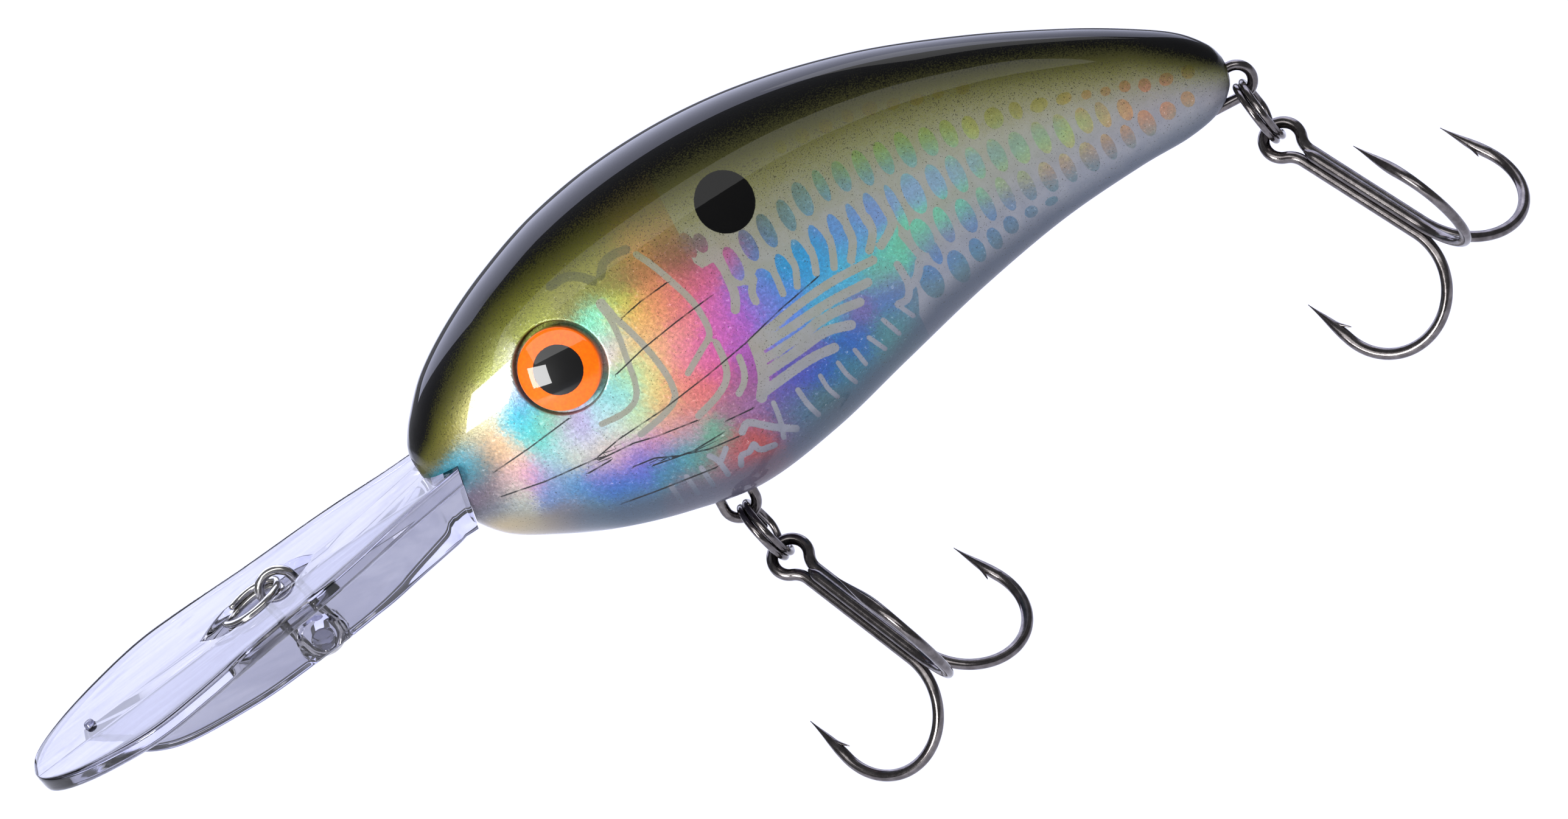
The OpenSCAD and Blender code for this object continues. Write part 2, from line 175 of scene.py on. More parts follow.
def rounded_power(v):
    return np.sign(v) * np.abs(v) ** (2 / SECTION_POWER)


def put(points):
    """From millimetres behind the nose to metres in the frame."""
    return (np.asarray(points, float) - TIE_TOP) * MM


# ---------------------------------------------------------------- meshes


def make_piece(name, points, faces, material, replaces, body, attributes=None, smooth_angle=None):
    """A shown piece that stands for CAD nodes and moves with their body."""
    mesh = bpy.data.meshes.new(name)
    mesh.from_pydata(put(points).tolist(), [], [tuple(int(k) for k in f) for f in faces])
    mesh.validate()
    for key, values in (attributes or {}).items():
        layer = mesh.attributes.new(key, "FLOAT_COLOR", "POINT")
        layer.data.foreach_set("color", np.asarray(values, np.float32).ravel())
    mesh.shade_smooth()
    if smooth_angle:
        mesh.set_sharp_from_angle(angle=math.radians(smooth_angle))
    piece = bpy.data.objects.new(name, mesh)
    bpy.context.scene.collection.objects.link(piece)
    mesh.materials.append(material)
    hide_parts(*replaces)
    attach(piece, body)


def grid_faces(rows, columns, wrap, start=0):
    """Quads of a grid of points; wrap joins the last column to the first."""
    faces = []
    for i in range(rows - 1):
        for j in range(columns if wrap else columns - 1):
            a, b = start + i * columns + j, start + i * columns + (j + 1) % columns
            faces.append((a, b, b + columns, a + columns))
    return faces


def end_caps(count, sides):
    """Faces that close the first and the last ring of a tube of count points."""
    return [tuple(range(sides))[::-1], tuple(range(count - sides, count))]


def tube(path, side, in_plane, across, sides=20):
    """A wire along a path. side is across the wire at each point; the two radii may vary along it.

    Both ends are rounded off over the wire's own radius.
    """
    path = np.asarray(path, float)
    n = len(path)
    side = np.broadcast_to(np.asarray(side, float), (n, 3))
    in_plane = np.broadcast_to(np.asarray(in_plane, float), (n,)).copy()
    across = np.broadcast_to(np.asarray(across, float), (n,)).copy()
    along = np.gradient(path, axis=0)
    along /= np.linalg.norm(along, axis=1)[:, None]
    side = side - (side * along).sum(1)[:, None] * along
    side /= np.linalg.norm(side, axis=1)[:, None]
    out = np.cross(side, along)
    angle = np.arange(sides) * 2 * math.pi / sides

    def ring(k, shift, scale):
        return (
            path[k] + along[k] * shift * in_plane[k]
            + np.outer(np.cos(angle), out[k]) * in_plane[k] * scale
            + np.outer(np.sin(angle), side[k]) * across[k] * scale
        )

    caps = np.radians([80, 60, 40, 20])
    rings = [ring(0, -math.sin(a), math.cos(a)) for a in caps]
    rings += [ring(k, 0, 1) for k in range(n)]
    rings += [ring(n - 1, math.sin(a), math.cos(a)) for a in caps[::-1]]
    points = np.vstack(rings)
    return points, grid_faces(len(rings), sides, True) + end_caps(len(points), sides)


def closed_tube(path, side, radius, sides=20):
    """A closed loop of wire in the plane whose normal is side."""
    path = np.asarray(path, float)
    along = np.roll(path, -1, axis=0) - np.roll(path, 1, axis=0)
    along /= np.linalg.norm(along, axis=1)[:, None]
    out = np.cross(side, along)
    angle = np.arange(sides) * 2 * math.pi / sides
    points = (
        path[:, None, :]
        + np.cos(angle)[None, :, None] * out[:, None, :] * radius
        + np.sin(angle)[None, :, None] * np.asarray(side, float)[None, None, :] * radius
    ).reshape(-1, 3)
    faces = grid_faces(len(path), sides, True)
    last = (len(path) - 1) * sides
    for j in range(sides):
        faces.append((last + j, last + (j + 1) % sides, (j + 1) % sides, j))
    return points, faces


def joined(parts):
    """One list of points and faces from several."""
    points, faces, start = [], [], 0
    for p, f in parts:
        points.append(np.asarray(p, float))
        faces += [tuple(k + start for k in face) for face in f]
        start += len(p)
    return np.vstack(points), faces


# ---------------------------------------------------------------- body


def eye_axes(flank):
    """Middle, two axes across and the facing of an eye; flank is -1 on the left and 1 on the right."""
    mirror = np.array([1, -flank, 1])
    facing = unit(EYE_FACING) * mirror
    first = unit(np.cross([0, 0, 1], facing))
    return EYE_AT * mirror, first, np.cross(facing, first), facing


def body_grid(stations=560, steps=210):
    """Points of the left half's outer skin, from the back round the flank to the belly."""
    u = spread(BODY_ROWS, stations)
    rows = spline(BODY_ROWS, u)
    angle = np.radians(90 - 180 * np.linspace(0, 1, steps))
    middle = (rows[:, 1] + rows[:, 2]) / 2
    half_h = (rows[:, 1] - rows[:, 2]) / 2
    x = np.repeat(rows[:, :1], steps, axis=1)
    y = -rows[:, 3:4] * rounded_power(np.cos(angle))[None, :]
    z = middle[:, None] + half_h[:, None] * rounded_power(np.sin(angle))[None, :]
    y[:, 0] = y[:, -1] = 0
    return np.stack([x, y, z], axis=2)


def plain_skin(flank):
    """One half's outer skin with no openings, closed at the nose and the tail."""
    grid = body_grid()
    stations, steps = grid.shape[:2]
    points = grid.reshape(-1, 3).copy()
    points[:, 1] *= -flank
    nose = list(range(steps))[::-1]
    tail = [(stations - 1) * steps + k for k in range(steps)]
    mesh = bpy.data.meshes.new("skin")
    mesh.from_pydata(points.tolist(), [], grid_faces(stations, steps, False) + [nose, tail])
    skin = bmesh.new()
    skin.from_mesh(mesh)
    bpy.data.meshes.remove(mesh)
    return skin


def cut_lip_seat(skin):
    """Take away what lies below the plate's top and ahead of the root's face, and close the cut."""
    root_dir = unit(ROOT_TOP - ROOT_FOOT)
    root_normal = Vector((root_dir[1], 0, -root_dir[0]))
    root_place = Vector((ROOT_FOOT[0] + ROOT_GAP, 0, ROOT_FOOT[1]))
    plate_normal = Vector((-math.sin(LIP_DROOP), 0, math.cos(LIP_DROOP)))
    plate_place = Vector((0, 0, PLATE_GAP))
    cuts = (
        (root_place, root_normal, lambda v: v.co.z),
        (plate_place, plate_normal, lambda v: v.co.x),
    )
    for place, normal, _ in cuts:
        near = [f for f in skin.faces if f.calc_center_median().x < SEAT_REACH]
        shape = dict.fromkeys(near)
        for f in near:
            shape.update(dict.fromkeys(f.edges))
            shape.update(dict.fromkeys(f.verts))
        bmesh.ops.bisect_plane(skin, geom=list(shape), dist=1e-6, plane_co=place, plane_no=normal)

    def in_seat(p, slack):
        return (p - root_place).dot(root_normal) < slack and (p - plate_place).dot(plate_normal) < slack

    gone = [f for f in skin.faces if in_seat(f.calc_center_median(), 0)]
    bmesh.ops.delete(skin, geom=gone, context="FACES")
    rim = [v for v in skin.verts if v.is_boundary and in_seat(v.co, 1e-4)]
    for place, normal, order in cuts:
        edge = sorted([v for v in rim if abs((v.co - place).dot(normal)) < 1e-4], key=order)
        inner = [skin.verts.new((v.co.x, 0, v.co.z)) for v in edge]
        for k in range(len(edge) - 1):
            if abs(edge[k].co.y) + abs(edge[k + 1].co.y) > 1e-6:
                skin.faces.new((edge[k], edge[k + 1], inner[k + 1], inner[k]))


def cut_eye_socket(skin, flank):
    """Sink a round socket: the skin's nearest points move onto its rim and the faces inside go."""
    middle, first, second, facing = (Vector(v) for v in eye_axes(flank))
    rim_r = SOCKET_R + SOCKET_EASE

    def radial(p):
        return math.hypot((p - middle).dot(first), (p - middle).dot(second))

    def out_to(v, r, height):
        """The place at radius r in the direction of v, at a height over the eye's middle."""
        a, b = (v.co - middle).dot(first), (v.co - middle).dot(second)
        return middle + (first * a + second * b) * (r / math.hypot(a, b)) + facing * height

    near = [v for v in skin.verts if (v.co - middle).length < SOCKET_R + 3 and v.co.y * flank > 2]
    far = {v: radial(v.co) for v in near}
    moved = {}
    for v in near:
        for edge in v.link_edges:
            other = edge.other_vert(v)
            if other not in far or (far[v] - rim_r) * (far[other] - rim_r) > 0:
                continue
            moved[v if abs(far[v] - rim_r) <= abs(far[other] - rim_r) else other] = True
    for v in moved:
        a, b = (v.co - middle).dot(first), (v.co - middle).dot(second)
        slide = (first * a + second * b) * (rim_r / math.hypot(a, b) - 1)
        normal = v.normal if v.normal.length > 0.5 else facing
        slide -= facing * (slide.dot(normal) / max(facing.dot(normal), 0.2))
        v.co += slide
        far[v] = rim_r

    # faces that the rim crosses from corner to corner are split along it
    split = []
    for f in dict.fromkeys(f for v in near for f in v.link_faces):
        if len(f.verts) != 4 or not all(v in far for v in f.verts):
            continue
        on_rim = [v for v in f.verts if v in moved]
        inside = any(v not in moved and far[v] < rim_r for v in f.verts)
        outside = any(v not in moved and far[v] > rim_r for v in f.verts)
        if inside and outside and len(on_rim) == 2:
            split.append((f, on_rim))
    for f, on_rim in split:
        bmesh.utils.face_split(f, on_rim[0], on_rim[1])

    gone = []
    for f in dict.fromkeys(f for v in near for f in v.link_faces):
        reaches_in = any(v in far and v not in moved and far[v] < rim_r for v in f.verts)
        spans_rim = all(v in moved for v in f.verts) and radial(f.calc_center_median()) < rim_r - 0.02
        if reaches_in or spans_rim:
            gone.append(f)
    bmesh.ops.delete(skin, geom=gone, context="FACES")
    bmesh.ops.delete(skin, geom=[v for v in skin.verts if not v.link_faces], context="VERTS")

    # the rounded lip, the wall and the floor of the socket
    on_flank = [v for v in skin.verts if v.is_boundary and v.co.y * flank > 2]
    rim = [v for v in on_flank if abs(radial(v.co) - rim_r) < 0.01]
    rim.sort(key=lambda v: math.atan2((v.co - middle).dot(second), (v.co - middle).dot(first)))
    rings = [rim]
    for lower, r in ((0.03, rim_r - 0.06), (0.12, SOCKET_R), (0.5, SOCKET_R)):
        rings.append([skin.verts.new(out_to(v, r, (v.co - middle).dot(facing) - lower)) for v in rim])
    for height, r in ((0.1, SOCKET_R), (0, SOCKET_R - 0.1), (0, 2.5)):
        rings.append([skin.verts.new(out_to(v, r, height - EYE_SEAT)) for v in rim])
    for outer, inner in zip(rings, rings[1:]):
        for k in range(len(rim)):
            m = (k + 1) % len(rim)
            skin.faces.new((outer[k], outer[m], inner[m], inner[k]))


def body_half(flank):
    """The outer skin of one half with its eye socket and the seat of the lip cut into it."""
    skin = plain_skin(flank)
    cut_lip_seat(skin)
    cut_eye_socket(skin, flank)
    bmesh.ops.recalc_face_normals(skin, faces=skin.faces)
    skin.verts.index_update()
    points = np.array([v.co[:] for v in skin.verts])
    faces = [tuple(v.index for v in f.verts) for f in skin.faces]
    skin.free()
    return points, faces


# ---------------------------------------------------------------- diving lip


def to_lip(x, z):
    """Side-view places, from the body's axes to the plate's own."""
    c, s = math.cos(LIP_DROOP), math.sin(LIP_DROOP)
    return c * x + s * z, -s * x + c * z


def from_lip(p):
    c, s = math.cos(LIP_DROOP), math.sin(LIP_DROOP)
    return np.stack([c * p[..., 0] - s * p[..., 2], p[..., 1], s * p[..., 0] + c * p[..., 2]], axis=-1)


def arc_points(centre, radius, start, sweep, count):
    """Points of an arc in the (y, z) plane, angles from +y towards +z."""
    a = np.radians(start + sweep * np.linspace(0, 1, count))
    return np.stack([centre[0] + radius * np.cos(a), centre[1] + radius * np.sin(a)], axis=1)


def line_points(first, last, count):
    return np.linspace(first, last, count + 2)[1:-1]


def lip_section(half_w, hollow_w, depth, keel_w, keel_z):
    """Half of the lip's cross-section, from the middle of the top round to the middle of the keel."""
    edge = min(0.55, half_w * 0.5)
    top_edge = min(0.45, edge)
    bottom = -LIP_T
    wall = 0.3
    inner = max(hollow_w - wall, hollow_w * 0.5)
    t = np.linspace(0, 1, 9)
    points = [
        line_points((0, -depth), (inner, -depth), 10),
        np.column_stack([inner + (hollow_w - inner) * t, -depth * (1 - smoothstep(0, 1, t))]),
        line_points((hollow_w + 0.02, 0), (half_w - top_edge, 0), 14),
        arc_points((half_w - top_edge, -top_edge), top_edge, 90, -90, 9),
        arc_points((half_w - edge, bottom + edge), edge, 0, -90, 9),
    ]
    fillet = min(0.5, max(half_w - keel_w - edge, 0.02) * 0.5)
    drop = bottom - keel_z
    fillet = min(fillet, drop * 0.3)
    corner = min(0.5, drop * 0.3)
    points += [
        line_points((half_w - edge, bottom), (keel_w + fillet, bottom), 10),
        arc_points((keel_w + fillet, bottom - fillet), fillet, 90, 90, 7),
        line_points((keel_w, bottom - fillet), (keel_w, keel_z + corner), 26),
        arc_points((keel_w - corner, keel_z + corner), corner, 0, -90, 7),
        line_points((keel_w - corner, keel_z), (0, keel_z), 5),
    ]
    return np.vstack(points)


def lip_mesh():
    """The plate, its hollow and keel as one loft from the tip to the root's sloping face."""
    plate = spline(PLATE_ROWS, spread(PLATE_ROWS, 2400))
    order = np.argsort(plate[:, 0])
    outline_x, outline_w = plate[order, 0], np.abs(plate[order, 1])
    keel = spline(KEEL_EDGE, np.linspace(0, len(KEEL_EDGE) - 1, 800))
    keel_x, keel_z = to_lip(keel[:, 0], keel[:, 1])
    order = np.argsort(keel_x)
    keel_x, keel_z = keel_x[order], keel_z[order]
    root_x, root_z = to_lip(ROOT_TOP[0], ROOT_TOP[1])
    foot_x, foot_z = to_lip(ROOT_FOOT[0], ROOT_FOOT[1])
    tip = outline_x[0]
    stations = np.concatenate([
        tip + 0.02 + 0.6 * (1 - np.cos(np.linspace(0.1, 1, 14) * math.pi / 2)),
        np.arange(tip + 0.8, root_x - 0.01, 0.22),
        [root_x],
    ])
    circle_r = ((HOLLOW_LENGTH / 2) ** 2 + HOLLOW_HALF_W**2) / (2 * HOLLOW_HALF_W)
    boss_x, boss_z = to_lip(TIE_FOOT[0], TIE_FOOT[2])
    sections = []
    for x in stations:
        half_w = max(np.interp(x, outline_x, outline_w), 0.12)
        reach = circle_r**2 - (x - HOLLOW_AT) ** 2
        hollow_w = math.sqrt(max(reach, 0)) - (circle_r - HOLLOW_HALF_W)
        depth = HOLLOW_DEPTH * float(smoothstep(0.0, 0.35, hollow_w))
        hollow_w = max(hollow_w, 0.05)
        widest_keel = half_w - 0.3 if half_w > 1.8 else half_w * 0.4
        keel_w = min(np.interp(x, ROOT_ROWS[:, 0], ROOT_ROWS[:, 1]), widest_keel)
        low = min(np.interp(x, keel_x, keel_z), -LIP_T - 0.02)
        section = lip_section(half_w, min(hollow_w, half_w * 0.3), depth, max(keel_w, 0.03), low)
        # the tip's edge is rounded like the sides
        inside = min((x - tip) / 0.6, 1)
        shrink = math.sqrt(max(1 - (1 - inside) ** 2, 0.02))
        middle = -LIP_T / 2
        in_plate = section[:, 1] > -LIP_T - 0.03
        section[in_plate, 1] = middle + (section[in_plate, 1] - middle) * shrink
        # the keel swells around the cross pin
        wall = (section[:, 1] < -LIP_T - 0.6) & (section[:, 0] > keel_w - 0.02)
        away = np.hypot(x - boss_x, section[:, 1] - boss_z)
        section[:, 0] += np.where(wall, 0.3 * smoothstep(BOSS_R + 0.12, BOSS_R - 0.12, away), 0)
        left = section.copy()
        left[:, 0] *= -1
        loop = np.vstack([section, left[::-1]])
        # near the body the stations lean over to the root's sloping face
        lean = float(smoothstep(root_x - 5, root_x, x))
        face_x = root_x + (foot_x - root_x) * (root_z - loop[:, 1]) / (root_z - foot_z)
        xs = x + (face_x - root_x) * lean
        sections.append(np.column_stack([xs, loop[:, 0], loop[:, 1]]))
    grid = np.array(sections)
    rows, columns = grid.shape[:2]
    faces = [f[::-1] for f in grid_faces(rows, columns, True)]
    faces.append(tuple(range(columns)))
    # the root's face is closed by strips between its two sides
    start = (rows - 1) * columns
    for k in range(columns // 2 - 1):
        faces.append((start + k, start + k + 1, start + columns - 2 - k, start + columns - 1 - k))
    return from_lip(grid).reshape(-1, 3), faces


def nub_mesh():
    """The small peg that stands on the plate near its tip."""
    rings, sides = [], 32
    a = np.arange(sides) * 2 * math.pi / sides
    for r, z in ((0.6, -0.1), (0.55, 0.02), (0.5, 0.1), (0.48, 0.3), (0.42, 0.42), (0.3, 0.49), (0.1, 0.5)):
        rings.append(np.column_stack([NUB_AT + r * np.cos(a), r * np.sin(a), np.full(sides, z)]))
    points = from_lip(np.vstack(rings))
    return points, grid_faces(len(rings), sides, True) + end_caps(len(points), sides)


def lathe_y(profile, middle, sides=96):
    """Turned shape around an axis along Y; the profile is (radius, y)."""
    a = np.arange(sides) * 2 * math.pi / sides
    x, y, z = middle
    rings = [
        np.column_stack([x + r * np.cos(a), np.full(sides, y + along), z + r * np.sin(a)])
        for r, along in profile
    ]
    points = np.vstack(rings)
    return points, grid_faces(len(rings), sides, True) + end_caps(len(points), sides)


# ---------------------------------------------------------------- eyes


def eye_mesh(flank, sides=160):
    """A domed button: flat back, rounded rim, and a face of a shallow dome."""
    middle, first, second, facing = eye_axes(flank)
    rim = EYE_PROUD - 0.3
    rim_round = 0.28
    dome_edge = EYE_R - 0.26
    profile = [
        (0.02, 0.03 - EYE_SEAT), (3.4, 0.03 - EYE_SEAT), (EYE_R - 0.06, 0.06 - EYE_SEAT),
        (EYE_R, 0.15 - EYE_SEAT), (EYE_R, 0), (EYE_R, 0.6 * rim), (EYE_R, 0.9 * rim),
    ]
    for turn in np.radians([10, 25, 40, 55, 70]):
        profile.append((EYE_R - rim_round * (1 - math.cos(turn)), rim + rim_round * math.sin(turn)))
    for t in np.linspace(0.97, 0.01, 40):
        profile.append((dome_edge * t, rim + rim_round + EYE_DOME * (1 - t * t)))
    a = np.arange(sides) * 2 * math.pi / sides
    circle = np.outer(np.cos(a), first) + np.outer(np.sin(a), second)
    points = np.vstack([middle + circle * r + facing * height for r, height in profile])
    # how far out each point is, as a share of the eye's radius
    where = np.ones((len(points), 4))
    where[:, 0] = np.repeat([r / EYE_R for r, _ in profile], sides)
    faces = grid_faces(len(profile), sides, True) + end_caps(len(points), sides)
    if flank > 0:
        faces = [f[::-1] for f in faces]
    return points, faces, where


# ---------------------------------------------------------------- wires


def oval_path(first, last, radius, steps=40):
    """Centre line of a closed oval link in the XZ plane."""
    first, last = np.asarray(first, float), np.asarray(last, float)
    along = unit(last - first)
    up = np.array([-along[2], 0, along[0]])

    def half_turn(middle, start):
        turns = (start + np.linspace(0, 1, steps)) * math.pi
        return [middle + radius * (math.cos(a) * along + math.sin(a) * up) for a in turns]

    length = np.linalg.norm(last - first)
    rise = [first + along * length * t - radius * up for t in np.linspace(0, 1, 14)[1:-1]]
    back = [last - along * length * t + radius * up for t in np.linspace(0, 1, 14)[1:-1]]
    return np.array(half_turn(first, 0.5) + rise + half_turn(last, -0.5) + back)


def split_ring_path():
    """Two turns of wire around Z that step from one side to the other where the ends stop short."""
    turn = np.radians(np.linspace(4, 650, 260))
    step = smoothstep(math.radians(300), math.radians(364), turn)
    lift = RING_WIRE * 0.97
    return np.column_stack([RING_R * np.cos(turn), RING_R * np.sin(turn), lift * (2 * step - 1)])


def placed_by(points, x, y, z, origin):
    """Points of a piece's own axes, put along three directions from an origin."""
    return np.asarray(points) @ np.array([x, y, z]) + np.asarray(origin)


def ring_axes(hang):
    """Where a split ring touches its hanger, the hanger's direction there, and the way the ring hangs."""
    loop, _, angle, swing, _, _ = hang
    a, s = math.radians(angle), math.radians(swing)
    down = np.array([math.sin(a), 0, -math.cos(a)])
    tangent = np.array([math.cos(a), 0, math.sin(a)])
    ring_down = down * math.cos(s) + np.array([0, -1, 0]) * math.sin(s)
    return np.array(loop) + HANGER_R * down, tangent, ring_down


def treble_axes(hang):
    """Three axes and the origin, the eye's middle, of a treble that hangs from its ring."""
    contact, _, ring_down = ring_axes(hang)
    shank = unit(hang[4])
    bottom = contact + (2 * RING_R - LOOP_TO_RING) * ring_down
    z = -shank
    facing = np.array(hang[5], float)
    y = -unit(facing - (facing @ z) * z)
    return np.cross(y, z), y, z, bottom + (HOOK_EYE_R - RING_TO_EYE) * shank


# A treble's own shape: the neck below the eye, the single hook's place behind the double, the bend
NECK_TURN = math.radians(45)
SHANK_X = HOOK_WIRE + 0.06
NECK_R = (HOOK_EYE_R * math.cos(NECK_TURN) - SHANK_X) / (1 - math.cos(NECK_TURN))
NECK_END = (HOOK_EYE_R + NECK_R) * math.sin(NECK_TURN)
SINGLE_Y = -0.95
SINGLE_TOP = 3.6
BEND_TURN = 187
SHANK_STEPS = 30
NECK_STEPS = 13
EYE_STEPS = 58


def bend_end():
    """Where the bend stops, the way the point runs from there, and the way to the hook's inside."""
    turn = math.radians(BEND_TURN)
    lean = turn - math.pi
    end = np.array([BEND_R - BEND_R * math.cos(turn), 0, -SHANK - BEND_R * math.sin(turn)])
    rise = np.array([-math.sin(lean), 0, math.cos(lean)])
    inward = np.array([-math.cos(lean), 0, -math.sin(lean)])
    return end, rise, inward


def hook_path(top):
    """Centre line from the top of the shank to the point, opening towards +X, and the wire's two radii."""
    shank = [(0, 0, -z) for z in np.linspace(top, SHANK, SHANK_STEPS)[:-1]]
    turn = np.radians(np.linspace(0, BEND_TURN, 64))
    bend = [(BEND_R - BEND_R * math.cos(t), 0, -SHANK - BEND_R * math.sin(t)) for t in turn]
    end, rise, _ = bend_end()
    run = np.linspace(0, POINT, 40)[1:]
    bow = np.array([-0.05, 0, 0])
    point = [tuple(end + rise * s + bow * math.sin(s / POINT * math.pi)) for s in run]
    path = np.array(shank + bend + point)
    # the bend is pressed a little flat
    forged = np.concatenate([
        np.zeros(len(shank)),
        smoothstep(0, 0.25, turn / turn[-1]) * smoothstep(1.05, 0.8, turn / turn[-1]),
        np.zeros(len(point)),
    ])
    sharp = np.clip(1 - 0.995 * smoothstep(0.1, 1.15, run / POINT), 0.04, 1)
    in_plane = HOOK_WIRE * np.concatenate([np.ones(len(shank) + len(bend)), sharp])
    return path, in_plane, in_plane * (1 - 0.16 * forged)


def barb_mesh():
    """The sliver that stands off the inside of the point, in the hook's own plane."""
    end, rise, inward = bend_end()
    spine = ((2.6, 0.12), (2.1, 0.28), (1.5, 0.5), (0.95, 0.78), (0.6, 0.98))
    path = spline(np.array([end + rise * up + inward * off for up, off in spine]), np.linspace(0, 4, 16))
    t = np.linspace(0, 1, 16)
    return tube(path, [0, 1, 0], 0.2 * (1 - t) ** 0.7 + 0.015, 0.26 * (1 - t) ** 0.8 + 0.015, 12)


def turned_z(points, angle):
    c, s = math.cos(angle), math.sin(angle)
    p = np.asarray(points, float)
    return np.column_stack([c * p[:, 0] - s * p[:, 1], s * p[:, 0] + c * p[:, 1], p[:, 2]])


def double_hook_mesh():
    """One wire: a point, a bend, up the shank, round the eye and down to the other point."""
    path, in_plane, across = hook_path(NECK_END)
    halves = []
    for sign in (1, -1):
        azimuth = math.radians(90 - sign * 60)
        p = turned_z(path, azimuth) + [sign * SHANK_X, 0, 0]
        normal = turned_z(np.array([[0, -1, 0]]), azimuth)[0] * sign
        # the wire's flat side turns from the eye's plane into the bend's along the shank
        on_shank = np.arange(len(path)) < SHANK_STEPS
        turn_in = np.where(on_shank, smoothstep(NECK_END, NECK_END + 7, -path[:, 2]), 1)
        side = np.outer(1 - turn_in, [0, -1, 0]) + np.outer(turn_in, normal)
        start = math.pi if sign > 0 else 0
        turn = start - sign * NECK_TURN * np.linspace(0, 1, NECK_STEPS + 1)[1:]
        neck_x = sign * (SHANK_X + NECK_R) + NECK_R * np.cos(turn)
        neck = np.column_stack([neck_x, np.zeros(NECK_STEPS), -NECK_END + NECK_R * np.sin(turn)])
        halves.append((p, side, neck, in_plane, across))
    turn = np.linspace(-NECK_TURN, math.pi + NECK_TURN, EYE_STEPS + 2)[1:-1]
    eye = np.column_stack([HOOK_EYE_R * np.cos(turn), np.zeros(EYE_STEPS), HOOK_EYE_R * np.sin(turn)])
    right, left = halves
    path = np.vstack([right[0][::-1], right[2], eye, left[2][::-1], left[0]])
    side = np.vstack([right[1][::-1], np.tile([0, -1, 0], (EYE_STEPS + 2 * NECK_STEPS, 1)), left[1]])
    pressed = 1 - 0.07 * np.sin(np.linspace(0, math.pi, EYE_STEPS)) ** 2
    middle = np.full(EYE_STEPS + 2 * NECK_STEPS, HOOK_WIRE)
    flatter = middle * np.concatenate([np.ones(NECK_STEPS), pressed, np.ones(NECK_STEPS)])
    wire = tube(
        path, side,
        np.concatenate([right[3][::-1], middle, left[3]]),
        np.concatenate([right[4][::-1], flatter, left[4]]), 24,
    )
    barbs = []
    for sign in (1, -1):
        points, faces = barb_mesh()
        barbs.append((turned_z(points, math.radians(90 - sign * 60)) + [sign * SHANK_X, 0, 0], faces))
    return joined([wire] + barbs)


def single_hook_mesh():
    """The third hook, whose shank thins out at the top, behind the other two."""
    path, in_plane, across = hook_path(SINGLE_TOP)
    top = [(0, 0, -SINGLE_TOP + s) for s in (1.0, 0.75, 0.5, 0.25)]
    top_wire = [0.2, 0.34, 0.45, 0.51]
    path = np.vstack([top, path])
    in_plane = np.concatenate([top_wire, in_plane])
    across = np.concatenate([top_wire, across])
    points, faces = joined([tube(path, [0, -1, 0], in_plane, across, 24), barb_mesh()])
    return turned_z(points, math.radians(-90)) + [0, SINGLE_Y, 0], faces


def braze_mesh(sides=72):
    """Metal that fills the grooves between the three shanks, thinning out at both ends."""
    corners = np.array([[-SHANK_X, 0], [SHANK_X, 0], [0, SINGLE_Y]])
    centre = corners.mean(axis=0)
    angle = np.arange(sides) * 2 * math.pi / sides
    heights = np.linspace(-3.75, -11.4, 60)
    rings = []
    for z in heights:
        ends = float(smoothstep(-3.7, -4.6, z) * smoothstep(-11.5, -10.2, z))
        sharp = 11 - 4 * ends
        skin = HOOK_WIRE - 0.10 + 0.015 * ends + 0.012 * math.sin(z * 2.3)
        ring = []
        for a in angle:
            heading = np.array([math.cos(a), math.sin(a)])
            low, high = 0.0, 2.5
            for _ in range(22):
                r = (low + high) / 2
                away = np.linalg.norm(centre + heading * r - corners, axis=1)
                inside = np.exp(-sharp * (away - skin)).sum() > 1
                low, high = (r, high) if inside else (low, r)
            ring.append([centre[0] + heading[0] * low, centre[1] + heading[1] * low, z])
        rings.append(np.array(ring))
    points = np.vstack(rings)
    faces = [f[::-1] for f in grid_faces(len(rings), sides, True)]
    faces.append(tuple(range(sides)))
    faces.append(tuple(range(len(points) - sides, len(points)))[::-1])
    return points, faces


# ---------------------------------------------------------------- materials


